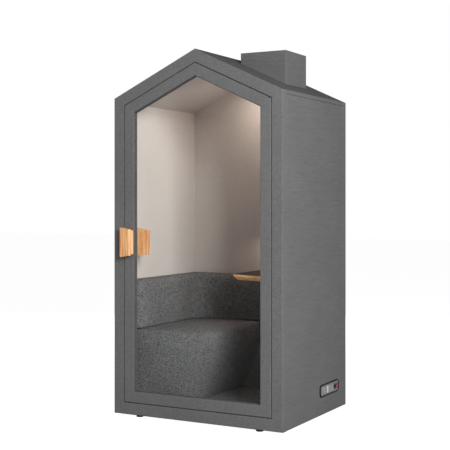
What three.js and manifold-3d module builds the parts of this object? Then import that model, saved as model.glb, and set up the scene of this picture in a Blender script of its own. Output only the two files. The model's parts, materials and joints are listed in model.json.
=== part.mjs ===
// Acoustic pod for one person: a house-shaped cabin with a glazed pivot door, a vent chimney,
// a bench with a wrap-round backrest, a wall table and a power panel.
// Millimetres, +Z up, +X to the pod's right seen from the front, +Y to the back.
// The origin is on the floor, under the middle of the pod's outer box.
import * as THREE from 'three';
import { mergeVertices } from 'three/addons/utils/BufferGeometryUtils.js';
import Module from 'manifold-3d';

const wasm = await Module();
wasm.setup();

// Overall sizes of the cabin body, measured from its underside
const bodyWidth = 1200;
const bodyDepth = 980;
const eaveHeight = 2020;
const roofPitch = THREE.MathUtils.degToRad(25);

// Clearances
const fitGap = 0.3;
const doorGap = 4;
const stopGap = 4;
const glassGap = 0.5;

// Shell build-up
const skinThickness = 12;
const coreThickness = 36;
const liningThickness = 12;
const deckThickness = 25;
const ceilingThickness = 32;
const backPanelThickness = 49;
const backLiningThickness = 11;
const baseHeight = 64;
const carpetThickness = 11;

// Door leaf
const leafFace = 71;
const leafThickness = 46;
const glassThickness = 8;
const glassFromBack = 4;
const glassBite = 10;
const gasketWidth = 4;
const gasketDepth = 19;

// Front portal, and the stop and seal behind the door
const frameFace = 74;
const stopDepth = 12;
const stopSillOverlap = 14;
const sealWidth = 9;
const sealThickness = 2.8;
const sealEdge = 2;

// Magnetic catch behind the left stile
const catchWidth = 12;
const catchHeight = 60;
const catchEdge = 2;
const magnetThickness = 9;
const magnetProud = 2;
const keeperThickness = 3;

// Pivots on the door's right edge
const pivotInset = 8;
const pivotPinRadius = 3.5;
const pivotRootRadius = 5;
const pivotRootLength = 22;
const pivotPinLength = 30;
const pivotCollarRadius = 7;
const pivotReliefMargin = 2;

// Wooden pulls
const pullCentreHeight = 1099;
const pullTallSide = 190;
const pullShortSide = 150;
const pullCapShortSide = 168;
const pullNeckDepth = 23;
const outerPullEdge = 2;
const outerPullOverhang = 2.5;
const outerPullProud = 51;
const innerPullWidth = 134;
const innerPullProud = 45;
const innerPullUndercut = 30;
const innerPullStopGap = 7;

// Levelling feet
const footHeight = 14;
const footRadius = 23;
const footTopRadius = 19;
const footStemRadius = 6;
const footStemLength = 45;
const footSocketSpare = 15;
const footFromSide = 172;
const footFromFront = 40;
const footFromBack = 80;

// Vent chimney on the right roof slope, placed from the middle of the ridge
const chimneyLeft = 118.5;
const chimneyWidth = 321;
const chimneyFront = -109;
const chimneyDepth = 309;
const chimneyAboveRidge = 10;
const chimneyWall = 12;
const outletWidth = 160;
const outletHeight = 64;
const outletFromRight = 28;
const outletFromTop = 26;
const outletSlats = 5;

// Duct, fan and ceiling grille, all square to the right roof slope
const ductRadius = 75;
const ductWall = 2.5;
const fanRim = 5;
const fanDepth = 38;
const fanBoreStep = 2;
const fanMotorRadius = 26;
const fanMotorHeight = 10;
const fanStrutWidth = 8;
const fanStrutHeight = 8.8;
const fanStruts = 3;
const rotorHubHeight = 22;
const rotorTipGap = 3;
const rotorBlades = 7;
const bladeThickness = 2.4;
const bladeChord = 26;
const bladePitch = THREE.MathUtils.degToRad(38);
const grilleRim = 13;
const grilleThickness = 6;
const grilleSlots = 8;
const grilleSlotWidth = 9;
const grilleBorder = 20;

// Ceiling lamp on the right slope, placed from the middle of the ridge
const lampX = 110;
const lampY = 235;
const lampRadius = 62;
const lampHeight = 16;
const diffuserRadius = 54;
const diffuserDepth = 6;

// Bench. Its free edge in plan is a smooth curve through points given as
// [distance from the left wall, distance from the pod's front face], and it ends square to the back wall.
const seatEdgePlaces = [
  [0, 130], [70, 136], [170, 156], [270, 176], [400, 200], [490, 228], [540, 300], [555, 400], [555, 670],
];
const seatHeight = 536;
const seatCrown = 6;
const cushionThickness = 116;

// The bench's sections run from the wall corner (share 0) to the free edge in plan (share 1), with one share
// away from the left wall and one away from the back wall. The plinth leans in under the seat's right edge.
const plinthFootShares = [0.73, 0.97];
const plinthWaistShares = [0.855, 0.985];
const plinthBrowShares = [0.96, 0.99];
const plinthTopShares = [0.98, 0.985];
const plinthWaistRise = 160;
const plinthBrowDrop = 45;
const cushionFootDrawIn = 0.02;
const cushionTopDrawIn = 0.1;
const cushionBellyRise = 0.57;
const cushionRoundness = 3;
const cushionTopShares = [0.82, 0.7, 0.55, 0.38, 0.25, 0];

// Backrest along the left and back walls
const backrestTop = 856;
const backrestThickness = 78;
const backrestCornerRadius = 150;
const backrestFromFront = 102;
const backrestReach = 615;
const backrestEdgeRadius = 34;
const backrestWallRadius = 9;
const backrestCrown = 6;

// Wall table
const tableHeight = 901;
const tableThickness = 35;
const laminateThickness = 2;
const tableReach = 428;
const tableFromFrontAtWall = 138;
const tableFromFrontAtTip = 262;
const tableFromBack = 170;
const tableTipRadius = 70;
const tableBackRadius = 60;
const tableBand = 14;
const tableBevel = 27;
const bracketThickness = 10;
const bracketReach = 250;
const bracketDrop = 130;
const bracketFromFront = 140;
const bracketFromBack = 90;

// Power panel on the right side
const panelFromBack = 287;
const panelZ = 153;
const bezelLength = 310;
const bezelHeight = 82;
const bezelRadius = 27;
const bezelRim = 10.5;
const bezelProud = 7;
const faceThickness = 4;
const backBoxEndEdge = 6.5;
const backBoxSideEdge = 3.5;
const backBoxDepth = 38;
const backBoxWall = 3;
const socketLength = 176;
const socketHeight = 44;
const socketProud = 2;
const socketFromFront = 22;
const socketPinSlots = 4;
const slotLength = 7;
const slotWidth = 2.2;
const inletLength = 62;
const inletRim = 4;
const inletBodyDepth = 24;
const inletFromBack = 9;
const inletLip = 2;
const inletCorner = 5;
const inletRecessLength = 24;
const inletRecessHeight = 17;
const inletRecessDepth = 15;
const rockerHalfWidth = 9;
const rockerValley = 3.5;
const rockerEdge = 5.6;
const rockerHeight = 28;
const rockerSink = 2;
const rockerTilt = THREE.MathUtils.degToRad(8);
const rockerTrunnionRadius = 1.5;
const rockerTrunnionLength = 1.2;
const rockerGap = 0.6;

// Facets on round pieces
const roundFacets = 28;
const arcFacets = 10;
const seatEdgeSteps = 40;
const cushionBrowSteps = 6;
const cushionSkirtSteps = 3;
const backrestStraightSteps = 9;
const backrestCornerSteps = 12;
const backrestEndSteps = 4;
const backrestFaceSteps = 4;
const softArcSteps = 4;
const hardArcSteps = 2;
const weldTolerance = 1e-3;

// Places worked out from the sizes above
const halfWidth = bodyWidth / 2;
const frontY = -bodyDepth / 2;
const backY = bodyDepth / 2;
const slope = Math.tan(roofPitch);
const lean = Math.cos(roofPitch);
const frameBackY = frontY + leafThickness + stopGap;
const stopBackY = frameBackY + stopDepth;
const shellBackY = backY - backPanelThickness;
const cabinBackY = shellBackY - backLiningThickness;
const coreX = halfWidth - skinThickness;
const liningX = coreX - coreThickness;
const cabinX = liningX - liningThickness;
const floorZ = baseHeight + carpetThickness;
const leafInset = frameFace + doorGap;
const leafRight = halfWidth - leafInset;
const leafBackY = frontY + leafThickness;
const paneInset = leafInset + leafFace;
const stopInset = leafInset + sealEdge + sealWidth + catchWidth + 2 * catchEdge;
const stopSillTop = leafInset + stopSillOverlap;
const pivotX = leafRight - pivotInset;
const pivotY = frontY + pivotInset;
const panelY = backY - panelFromBack;

const roofTopAt = (x) => eaveHeight + (halfWidth - Math.abs(x)) * slope;
const deckUnderAt = (x) => roofTopAt(x) - deckThickness;
const ceilingTopAt = (x) => deckUnderAt(x) - fitGap;
const ceilingUnderAt = (x) => ceilingTopAt(x) - ceilingThickness;
const headAt = (x, inset) => roofTopAt(x) - inset / lean;

// Colours and finishes
const finish = (color, roughness, metalness = 0) => ({ color, roughness, metalness });
const greyFelt = finish(0x696969, 0.95);
const darkFelt = finish(0x565656, 0.95);
const beigeFelt = finish(0xd2c7be, 0.95);
const darkCarpet = finish(0x2e2e2f, 1);
const sofaCloth = finish(0x5b5b5d, 0.95);
const oak = finish(0xdaa873, 0.5);
const darkLaminate = finish(0x423a36, 0.45);
const rawBoard = finish(0x8a6f4e, 0.8);
const foam = finish(0x3f4244, 1);
const blackRubber = finish(0x151515, 0.85);
const blackPlastic = finish(0x1a1a1a, 0.45);
const whitePlastic = finish(0xe9e7e2, 0.4);
const palePlastic = finish(0xc9cacb, 0.45);
const redPlastic = finish(0xc02a20, 0.35);
const greyMetal = finish(0x9a9c9e, 0.4, 0.9);
const steel = finish(0xb4b6b8, 0.35, 1);
const clearGlass = finish(0xdfe8e6, 0.03);

const pod = new THREE.Group();
pod.position.set(0, outerPullProud / 2, footHeight);

function addPiece(name, geometry, look, parent = pod) {
  const mesh = new THREE.Mesh(geometry, new THREE.MeshStandardMaterial(look));
  mesh.name = name;
  parent.add(mesh);
  return mesh;
}

// Joining and cutting of closed geometries
function toSolid(geometry) {
  const bare = geometry.clone();
  bare.deleteAttribute('normal');
  bare.deleteAttribute('uv');
  const merged = mergeVertices(bare, weldTolerance);
  const vertProperties = new Float32Array(merged.attributes.position.array);
  const triVerts = new Uint32Array(merged.index.array);
  return new wasm.Manifold(new wasm.Mesh({ numProp: 3, vertProperties, triVerts }));
}

function toGeometry(solid) {
  const mesh = solid.getMesh();
  const geometry = new THREE.BufferGeometry();
  geometry.setAttribute('position', new THREE.BufferAttribute(mesh.vertProperties, 3));
  geometry.setIndex(new THREE.BufferAttribute(mesh.triVerts, 1));
  return geometry;
}

const cut = (geometry, ...tools) =>
  toGeometry(tools.reduce((solid, tool) => solid.subtract(toSolid(tool)), toSolid(geometry)));
const join = (...geometries) =>
  toGeometry(geometries.map(toSolid).reduce((solid, other) => solid.add(other)));

// A span of one axis, made larger or smaller at both ends
const spanAbout = (middle, length) => [middle - length / 2, middle + length / 2];
const grown = ([low, high], margin = fitGap) => [low - margin, high + margin];

// Prisms: an outline carried along Y, Z or X
const outlineShape = (points) => new THREE.Shape(points.map(([u, v]) => new THREE.Vector2(u, v)));

function prismZ(shape, z0, height) {
  const options = { depth: height, bevelEnabled: false, curveSegments: arcFacets };
  return new THREE.ExtrudeGeometry(shape, options).translate(0, 0, z0);
}

function prismY(points, y0, depth, holePoints = null) {
  const shape = outlineShape(points);
  if (holePoints) shape.holes.push(outlineShape(holePoints));
  return prismZ(shape, 0, depth).rotateX(Math.PI / 2).translate(0, y0 + depth, 0);
}

function prismX(shape, x0, depth) {
  const turn = new THREE.Matrix4().makeBasis(
    new THREE.Vector3(0, 1, 0), new THREE.Vector3(0, 0, 1), new THREE.Vector3(1, 0, 0));
  return prismZ(shape, x0, depth).applyMatrix4(turn);
}

function block([x0, x1], [y0, y1], [z0, z1]) {
  const geometry = new THREE.BoxGeometry(x1 - x0, y1 - y0, z1 - z0);
  return geometry.translate((x0 + x1) / 2, (y0 + y1) / 2, (z0 + z1) / 2);
}

function roundedRectangle(centreU, centreV, width, height, radius) {
  const [left, right] = spanAbout(centreU, width - 2 * radius);
  const [bottom, top] = spanAbout(centreV, height - 2 * radius);
  const quarter = Math.PI / 2;
  const shape = new THREE.Shape();
  shape.absarc(right, bottom, radius, -quarter, 0);
  shape.absarc(right, top, radius, 0, quarter);
  shape.absarc(left, top, radius, quarter, 2 * quarter);
  shape.absarc(left, bottom, radius, 2 * quarter, 3 * quarter);
  return shape;
}

// A turned piece: [radius, height] pairs from the axis round to the axis, standing on Z
function turned(profile, x = 0, y = 0) {
  const points = profile.map(([radius, height]) => new THREE.Vector2(radius, height));
  return new THREE.LatheGeometry(points, roundFacets).rotateX(Math.PI / 2).translate(x, y, 0);
}

const rod = (radius, z0, z1, x = 0, y = 0) =>
  turned([[0, z0], [radius, z0], [radius, z1], [0, z1]], x, y);

// A flat cap over one closed ring of points
function ringCap(ring) {
  const [first, second, third] = [0, 1 / 3, 2 / 3].map((share) =>
    new THREE.Vector3(...ring[Math.floor(share * ring.length)]));
  const across = second.clone().sub(first);
  const normal = across.clone().cross(third.clone().sub(first)).normalize();
  const along = across.normalize();
  const up = normal.clone().cross(along);
  const flat = ring.map((point) => {
    const place = new THREE.Vector3(...point).sub(first);
    return new THREE.Vector2(place.dot(along), place.dot(up));
  });
  const faces = THREE.ShapeUtils.triangulateShape(flat, []);
  return THREE.ShapeUtils.isClockWise(flat) ? faces.map((face) => [...face].reverse()) : faces;
}

// A closed skin through rings of points, with flat caps on the first and last ring
function loft(rings) {
  const count = rings[0].length;
  const triangles = [];
  for (let ring = 0; ring + 1 < rings.length; ring += 1) {
    for (let i = 0; i < count; i += 1) {
      const a = ring * count + i;
      const b = ring * count + ((i + 1) % count);
      triangles.push(a, b, b + count, a, b + count, a + count);
    }
  }
  const last = (rings.length - 1) * count;
  for (const [a, b, c] of ringCap(rings[0])) triangles.push(c, b, a);
  for (const [a, b, c] of ringCap(rings[rings.length - 1])) triangles.push(last + a, last + b, last + c);
  const geometry = new THREE.BufferGeometry();
  geometry.setAttribute('position', new THREE.Float32BufferAttribute(rings.flat(2), 3));
  geometry.setIndex(triangles);
  return geometry;
}

// The house outline drawn in by an inset on every edge; corners run from the bottom left, anticlockwise
function houseOutline(inset, bottom = inset) {
  const side = halfWidth - inset;
  const corner = headAt(side, inset);
  return [[-side, bottom], [side, bottom], [side, corner], [0, headAt(0, inset)], [-side, corner]];
}

// A house outline that fills the space under the roof deck
function underDeckOutline(side, bottom) {
  const corner = ceilingTopAt(side);
  return [[-side, bottom], [side, bottom], [side, corner], [0, ceilingTopAt(0)], [-side, corner]];
}

// One mitred bar between two house outlines, along the edge that starts at the given corner
function mitredBar(outerInset, innerInset, edge, y0, depth) {
  const outer = houseOutline(outerInset);
  const inner = houseOutline(innerInset);
  const next = (edge + 1) % outer.length;
  return prismY([outer[edge], outer[next], inner[next], inner[edge]], y0, depth);
}

const barEdges = { bottom: 0, right: 1, rightSlope: 2, leftSlope: 3, left: 4 };

function houseRing(outerInset, innerInset, y0, depth) {
  return prismY(houseOutline(outerInset), y0, depth, houseOutline(innerInset));
}

// Pivot pins that the door turns on
const sillTop = frameFace;
const leafBottom = leafInset;
const leafTopAtPivot = headAt(pivotX, leafInset);
const pinTop = leafBottom + pivotPinLength;
const topPinFoot = leafTopAtPivot - pivotPinLength;
const topRootFoot = headAt(pivotX, frameFace) + pivotRootRadius;

// The leaf's top corner is cut down a little over the pivot, so that it passes under the sloping head
const pivotSweep = Math.hypot(pivotInset, pivotInset);
const reliefTop = leafTopAtPivot + doorGap / lean - pivotSweep * slope - 2 * fitGap;

function addPivots() {
  addPiece('bottom_pivot', turned([
    [0, sillTop - pivotRootLength],
    [pivotRootRadius, sillTop - pivotRootLength],
    [pivotRootRadius, sillTop],
    [pivotCollarRadius, sillTop],
    [pivotCollarRadius, leafBottom - fitGap],
    [pivotPinRadius, leafBottom - fitGap],
    [pivotPinRadius, pinTop],
    [0, pinTop],
  ], pivotX, pivotY), steel);
  addPiece('top_pivot', turned([
    [0, topPinFoot],
    [pivotPinRadius, topPinFoot],
    [pivotPinRadius, topRootFoot],
    [pivotRootRadius, topRootFoot],
    [pivotRootRadius, topRootFoot + pivotRootLength],
    [0, topRootFoot + pivotRootLength],
  ], pivotX, pivotY), steel);
}

const rootHole = (z0, z1) => rod(pivotRootRadius + fitGap, z0, z1, pivotX, pivotY);
const pinHole = (z0, z1) => rod(pivotPinRadius + fitGap, z0, z1, pivotX, pivotY);

// Places of the levelling feet, with a socket over each one
const sides = [['left', -1], ['right', 1]];
const ends = [['front', frontY + footFromFront], ['back', backY - footFromBack]];
const footPlaces = sides.flatMap(([sideName, side]) => ends.map(([endName, y]) =>
  ({ name: `foot_${endName}_${sideName}`, endName, x: side * (halfWidth - footFromSide), y })));

function footSockets(wantedEnd) {
  const socketTop = footStemLength + footSocketSpare;
  return footPlaces.filter(({ endName }) => endName === wantedEnd)
    .map(({ x, y }) => rod(footStemRadius + fitGap, -fitGap, socketTop, x, y));
}

function addFrontPortal() {
  const bar = (edge) => mitredBar(0, frameFace, edge, frontY, frameBackY - frontY);
  const sillHole = rootHole(sillTop - pivotRootLength - fitGap, sillTop + doorGap);
  const headHole = rootHole(leafTopAtPivot, topRootFoot + pivotRootLength + fitGap);
  addPiece('front_sill', cut(bar(barEdges.bottom), sillHole, ...footSockets('front')), greyFelt);
  addPiece('front_post_right', bar(barEdges.right), greyFelt);
  addPiece('front_rafter_right', cut(bar(barEdges.rightSlope), headHole), greyFelt);
  addPiece('front_rafter_left', bar(barEdges.leftSlope), greyFelt);
  addPiece('front_post_left', bar(barEdges.left), greyFelt);
}

// Catch beside the seal: the magnet sits in the stop, its keeper in the back of the door's left stile
const catchLeft = -leafRight + sealEdge + sealWidth + catchEdge;
const catchX = [catchLeft, catchLeft + catchWidth];
const catchZ = spanAbout(pullCentreHeight, catchHeight);
const catchPocket = (spanY) => block(grown(catchX), spanY, grown(catchZ));

function addDoorStop() {
  const outline = underDeckOutline(coreX, 0);
  const opening = houseOutline(stopInset, stopSillTop);
  const ring = prismY(outline, frameBackY, stopDepth, opening);
  const magnetFront = frameBackY - magnetProud;
  const magnetBack = magnetFront + magnetThickness;
  addPiece('door_stop', cut(ring, catchPocket([magnetFront, magnetBack + fitGap])), darkFelt);
  addPiece('catch_magnet', block(catchX, [magnetFront, magnetBack], catchZ), steel);
  const sealInset = leafInset + sealEdge;
  const seal = houseRing(sealInset, sealInset + sealWidth, frameBackY - sealThickness, sealThickness);
  addPiece('door_seal', seal, blackRubber);
}

// A wooden pull seen from the front: a trapezium that is taller on its left side
function pullOutline(left, width, shortSide) {
  const [low, high] = spanAbout(pullCentreHeight, pullTallSide);
  const [shortLow, shortHigh] = spanAbout(pullCentreHeight, shortSide);
  return [[left, low], [left + width, shortLow], [left + width, shortHigh], [left, high]];
}

// The outer pull has a taller cap on a neck that stands on the leaf
function outerPullGeometry() {
  const left = -leafRight - outerPullOverhang;
  const width = leafFace + outerPullOverhang - outerPullEdge;
  const neck = prismY(pullOutline(left, width, pullShortSide), frontY - outerPullProud, outerPullProud);
  const cap = prismY(pullOutline(left, width, pullCapShortSide), frontY - outerPullProud,
    outerPullProud - pullNeckDepth);
  return join(neck, cap);
}

// The inner pull is drawn in on its right side, away from the leaf
function innerPullGeometry() {
  const left = -(halfWidth - stopInset) + innerPullStopGap;
  const ring = (width, y) => pullOutline(left, width, pullShortSide).map(([x, z]) => [x, y, z]);
  return loft([
    ring(innerPullWidth - innerPullUndercut, leafBackY + innerPullProud),
    ring(innerPullWidth, leafBackY),
  ]);
}

function addDoor() {
  const bar = (edge) => mitredBar(leafInset, paneInset, edge, frontY, leafThickness);
  const paneY = leafBackY - glassFromBack - glassThickness;
  const paneEdge = paneInset - glassBite;
  const pocket = prismY(houseOutline(paneEdge - glassGap), paneY - glassGap, glassThickness + 2 * glassGap);
  const bottomHole = pinHole(leafBottom - doorGap, pinTop + fitGap);
  const topHole = pinHole(topPinFoot - fitGap, leafTopAtPivot + doorGap);
  const relief = block([pivotX - pivotInset - pivotReliefMargin, leafRight + fitGap],
    [frontY - fitGap, leafBackY + fitGap], [reliefTop, leafTopAtPivot + leafFace]);
  const keeperY = [leafBackY - keeperThickness, leafBackY];
  addPiece('door_rail_bottom', cut(bar(barEdges.bottom), pocket, bottomHole), greyFelt);
  addPiece('door_stile_right', cut(bar(barEdges.right), pocket, bottomHole, topHole, relief), greyFelt);
  addPiece('door_rafter_right', cut(bar(barEdges.rightSlope), pocket, topHole, relief), greyFelt);
  addPiece('door_rafter_left', cut(bar(barEdges.leftSlope), pocket), greyFelt);
  addPiece('door_stile_left', cut(bar(barEdges.left), pocket, catchPocket(grown(keeperY))), greyFelt);
  addPiece('door_glass', prismY(houseOutline(paneEdge), paneY, glassThickness), clearGlass);
  const gasketFront = paneY - gasketDepth - fitGap;
  const gasket = houseRing(paneInset + fitGap, paneInset + gasketWidth, gasketFront, gasketDepth);
  addPiece('glazing_gasket', gasket, blackRubber);
  addPiece('catch_plate', block(catchX, keeperY, catchZ), steel);
  addPiece('outer_handle', outerPullGeometry(), oak);
  addPiece('inner_handle', innerPullGeometry(), oak);
}

// One upright layer of a side wall: its top follows the underside of the roof deck
function wallLayer(side, innerX, outerX, bottomZ, y0) {
  const points = [
    [side * innerX, bottomZ],
    [side * outerX, bottomZ],
    [side * outerX, ceilingTopAt(outerX)],
    [side * innerX, ceilingTopAt(innerX)],
  ];
  return prismY(side > 0 ? points : points.reverse(), y0, shellBackY - y0);
}

// The power panel's metal face, and the box behind it that sits in the right wall
const faceLength = bezelLength - 2 * bezelRim;
const faceHeight = bezelHeight - 2 * bezelRim;
const faceRadius = bezelRadius - bezelRim;
const boxX = [halfWidth - fitGap - backBoxDepth, halfWidth - fitGap];
const boxY = spanAbout(panelY, faceLength - 2 * backBoxEndEdge);
const boxZ = spanAbout(panelZ, faceHeight - 2 * backBoxSideEdge);

function addSideWalls() {
  const wallPocket = block([boxX[0] - fitGap, halfWidth + fitGap], grown(boxY), grown(boxZ));
  for (const [name, side] of sides) {
    const open = (geometry) => (side > 0 ? cut(geometry, wallPocket) : geometry);
    const skin = wallLayer(side, coreX, halfWidth, 0, frameBackY);
    const core = wallLayer(side, liningX, coreX, baseHeight, stopBackY);
    addPiece(`${name}_skin`, open(skin), greyFelt);
    addPiece(`${name}_core`, open(core), foam);
    addPiece(`${name}_lining`, wallLayer(side, cabinX, liningX, baseHeight, stopBackY), beigeFelt);
  }
}

function addBack() {
  const lining = prismY(underDeckOutline(cabinX, baseHeight), cabinBackY, backLiningThickness);
  addPiece('back_panel', prismY(houseOutline(0), shellBackY, backPanelThickness), greyFelt);
  addPiece('back_lining', lining, beigeFelt);
}

function addFloor() {
  const deck = block([-coreX, coreX], [stopBackY, shellBackY], [0, baseHeight]);
  addPiece('base_deck', cut(deck, ...footSockets('back')), rawBoard);
  addPiece('carpet', block([-cabinX, cabinX], [stopBackY, cabinBackY], [baseHeight, floorZ]), darkCarpet);
  for (const { name, x, y } of footPlaces) {
    addPiece(name, turned([
      [0, -footHeight],
      [footRadius, -footHeight],
      [footTopRadius, -fitGap],
      [footStemRadius, -fitGap],
      [footStemRadius, footStemLength],
      [0, footStemLength],
    ], x, y), blackPlastic);
  }
}

// A place on the right roof slope: its Z axis stands square to the slope, its X axis runs down it
function slopeGroup(x, y, z) {
  const group = new THREE.Group();
  group.position.set(x, y, z);
  group.rotation.y = roofPitch;
  pod.add(group);
  group.updateMatrix();
  return group;
}

const ventX = chimneyLeft + chimneyWidth / 2;
const ventY = chimneyFront + chimneyDepth / 2;
const ventPlace = slopeGroup(ventX, ventY, roofTopAt(ventX));
const ceilingDrop = (deckThickness + fitGap + ceilingThickness) * lean;
const ductCutter = (radius) => rod(radius, -2 * ceilingDrop, ceilingDrop);

function addRoof() {
  const ductHole = ductCutter(ductRadius + fitGap).applyMatrix4(ventPlace.matrix);
  for (const [name, side] of sides) {
    const open = (geometry) => (side > 0 ? cut(geometry, ductHole) : geometry);
    const slab = (farX, topAt, underAt) => {
      const far = side * farX;
      const points = [[0, underAt(0)], [far, underAt(far)], [far, topAt(far)], [0, topAt(0)]];
      return side > 0 ? points : points.reverse();
    };
    const deck = prismY(slab(halfWidth, roofTopAt, deckUnderAt), frameBackY, shellBackY - frameBackY);
    const ceiling = prismY(slab(cabinX, ceilingTopAt, ceilingUnderAt), stopBackY, cabinBackY - stopBackY);
    addPiece(`roof_deck_${name}`, open(deck), greyFelt);
    addPiece(`ceiling_${name}`, open(ceiling), beigeFelt);
  }
}

function addChimney() {
  const left = chimneyLeft;
  const right = left + chimneyWidth;
  const top = roofTopAt(0) + chimneyAboveRidge;
  const back = chimneyFront + chimneyDepth;
  const seatAt = (x) => roofTopAt(x) + fitGap;
  const outline = [[left, seatAt(left)], [right, seatAt(right)], [right, top], [left, top]];
  const outer = prismY(outline, chimneyFront, chimneyDepth);
  const innerX = grown([left, right], -chimneyWall);
  const innerY = grown([chimneyFront, back], -chimneyWall);
  const hollow = block(innerX, innerY, [eaveHeight, top + chimneyWall]);
  const outletX = [right - outletFromRight - outletWidth, right - outletFromRight];
  const outletZ = [top - outletFromTop - outletHeight, top - outletFromTop];
  const outletY = [innerY[1], back];
  addPiece('chimney_shell', cut(outer, hollow, block(outletX, grown(outletY), outletZ)), greyFelt);
  addPiece('chimney_cap', block(innerX, innerY, [top - chimneyWall, top]), greyFelt);
  const frameX = grown(outletX, -fitGap);
  const frameZ = grown(outletZ, -fitGap);
  const slat = (frameZ[1] - frameZ[0]) / (2 * outletSlats + 1);
  const gaps = [];
  for (let i = 0; i < outletSlats; i += 1) {
    const z = frameZ[0] + slat * (2 * i + 1);
    gaps.push(block(grown(frameX, -slat), grown(outletY), [z, z + slat]));
  }
  addPiece('outlet_grille', cut(block(frameX, outletY, frameZ), ...gaps), blackPlastic);
}

const fanBoreRadius = ductRadius - fanBoreStep;
const fanFoot = fitGap;
const hubFoot = fanFoot + fanMotorHeight + fitGap;

function addFan() {
  const half = ductRadius + fanRim;
  const fanTop = fanFoot + fanDepth;
  const shell = cut(block([-half, half], [-half, half], [fanFoot, fanTop]), ductCutter(fanBoreRadius));
  const struts = [];
  for (let i = 0; i < fanStruts; i += 1) {
    const strut = block([fanMotorRadius / 2, fanBoreRadius + fanStrutWidth / 2],
      spanAbout(0, fanStrutWidth), [fanFoot, fanFoot + fanStrutHeight]);
    struts.push(strut.rotateZ((i * 2 * Math.PI) / fanStruts + Math.PI / 4));
  }
  const motor = rod(fanMotorRadius, fanFoot, fanFoot + fanMotorHeight);
  addPiece('fan_frame', join(shell, motor, ...struts), blackPlastic, ventPlace);
}

function addRotor() {
  const hubTop = hubFoot + rotorHubHeight;
  const rootRadius = fanMotorRadius / 2;
  const tipRadius = fanBoreRadius - rotorTipGap;
  const blades = [];
  for (let i = 0; i < rotorBlades; i += 1) {
    const blade = new THREE.BoxGeometry(tipRadius - rootRadius, bladeChord, bladeThickness);
    blade.rotateX(bladePitch);
    blade.translate((tipRadius + rootRadius) / 2, 0, (hubFoot + hubTop) / 2);
    blades.push(blade.rotateZ((i * 2 * Math.PI) / rotorBlades));
  }
  addPiece('fan_rotor', join(rod(fanMotorRadius, hubFoot, hubTop), ...blades), blackPlastic, ventPlace);
}

function addDuct() {
  const sleeve = cut(rod(ductRadius, -ceilingDrop, 0), ductCutter(ductRadius - ductWall));
  addPiece('duct_sleeve', sleeve, greyMetal, ventPlace);
  const grilleTop = -ceilingDrop - fitGap;
  const grilleSpan = spanAbout(0, 2 * (ductRadius + grilleRim));
  const grilleZ = [grilleTop - grilleThickness, grilleTop];
  const slotSpan = grown(grilleSpan, -grilleBorder);
  const slotPitch = (slotSpan[1] - slotSpan[0]) / grilleSlots;
  const slots = [];
  for (let i = 0; i < grilleSlots; i += 1) {
    const slotX = spanAbout(slotSpan[0] + (i + 0.5) * slotPitch, grilleSlotWidth);
    slots.push(block(slotX, slotSpan, grown(grilleZ)));
  }
  addPiece('ceiling_grille', cut(block(grilleSpan, grilleSpan, grilleZ), ...slots), whitePlastic, ventPlace);
}

function addLamp() {
  const place = slopeGroup(lampX, lampY, ceilingUnderAt(lampX));
  const top = -fitGap;
  const bottom = top - lampHeight;
  addPiece('lamp_housing', turned([
    [0, bottom + diffuserDepth],
    [diffuserRadius, bottom + diffuserDepth],
    [diffuserRadius, bottom],
    [lampRadius, bottom],
    [lampRadius, top],
    [0, top],
  ]), whitePlastic, place);
  const diffuser = rod(diffuserRadius - fitGap, bottom + fitGap, bottom + diffuserDepth - fitGap);
  addPiece('lamp_diffuser', diffuser, whitePlastic, place);
}

// The bench fills the corner between the left and back walls
const cornerX = -cabinX + fitGap;
const cornerY = cabinBackY - fitGap;

function seatEdge() {
  const places = seatEdgePlaces.map(([fromWall, fromFront]) =>
    new THREE.Vector2(Math.max(cornerX, fromWall - cabinX), frontY + fromFront));
  const end = new THREE.Vector2(places[places.length - 1].x, cornerY);
  return new THREE.SplineCurve([...places, end]).getSpacedPoints(seatEdgeSteps);
}

// A body between the wall corner and the bench's free edge. The profile lists [shares, height] pairs
// from the corner's foot, out to the edge and back to the corner's top. Rings run along the free edge
// from the back wall.
function cornerBody(profile, heightAt) {
  const rings = seatEdge().reverse().map((point) => profile.map(([[acrossShare, deepShare], height]) => {
    const x = cornerX + acrossShare * (point.x - cornerX);
    const y = cornerY + deepShare * (point.y - cornerY);
    return [x, y, height + heightAt(x, y, acrossShare, height)];
  }));
  return toGeometry(toSolid(loft(rings)));
}

// A quarter of a superellipse from its widest point to its end: [share of the rise, share of the draw-in]
function superQuarter(steps) {
  const power = 2 / cushionRoundness;
  const quarter = [];
  for (let i = 0; i <= steps; i += 1) {
    const angle = (i / steps) * (Math.PI / 2);
    quarter.push([Math.sin(angle) ** power, 1 - Math.abs(Math.cos(angle)) ** power]);
  }
  return quarter;
}

// The cushion's section: its side swells from the foot to the belly, then rolls in over the top edge
function cushionProfile(foot) {
  const belly = foot + cushionThickness * cushionBellyRise;
  const skirt = superQuarter(cushionSkirtSteps).reverse().map(([rise, drawIn]) =>
    [1 - cushionFootDrawIn * drawIn, belly - rise * (belly - foot)]);
  const brow = superQuarter(cushionBrowSteps).slice(1).map(([rise, drawIn]) =>
    [1 - cushionTopDrawIn * drawIn, belly + rise * (seatHeight - belly)]);
  const top = cushionTopShares.map((share) => [share, seatHeight]);
  return [[0, foot], ...skirt, ...brow, ...top].map(([share, height]) => [[share, share], height]);
}

// The cushion's top swells between the edge and the backrest
function cushionCrown(x, y, share, height) {
  if (height < seatHeight) return 0;
  const wallBand = backrestThickness + backrestCornerRadius / 2;
  const clear = THREE.MathUtils.smoothstep(Math.min(x - cornerX, cornerY - y), wallBand, 2 * wallBand);
  return clear * seatCrown * Math.sin(Math.PI * share);
}

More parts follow.
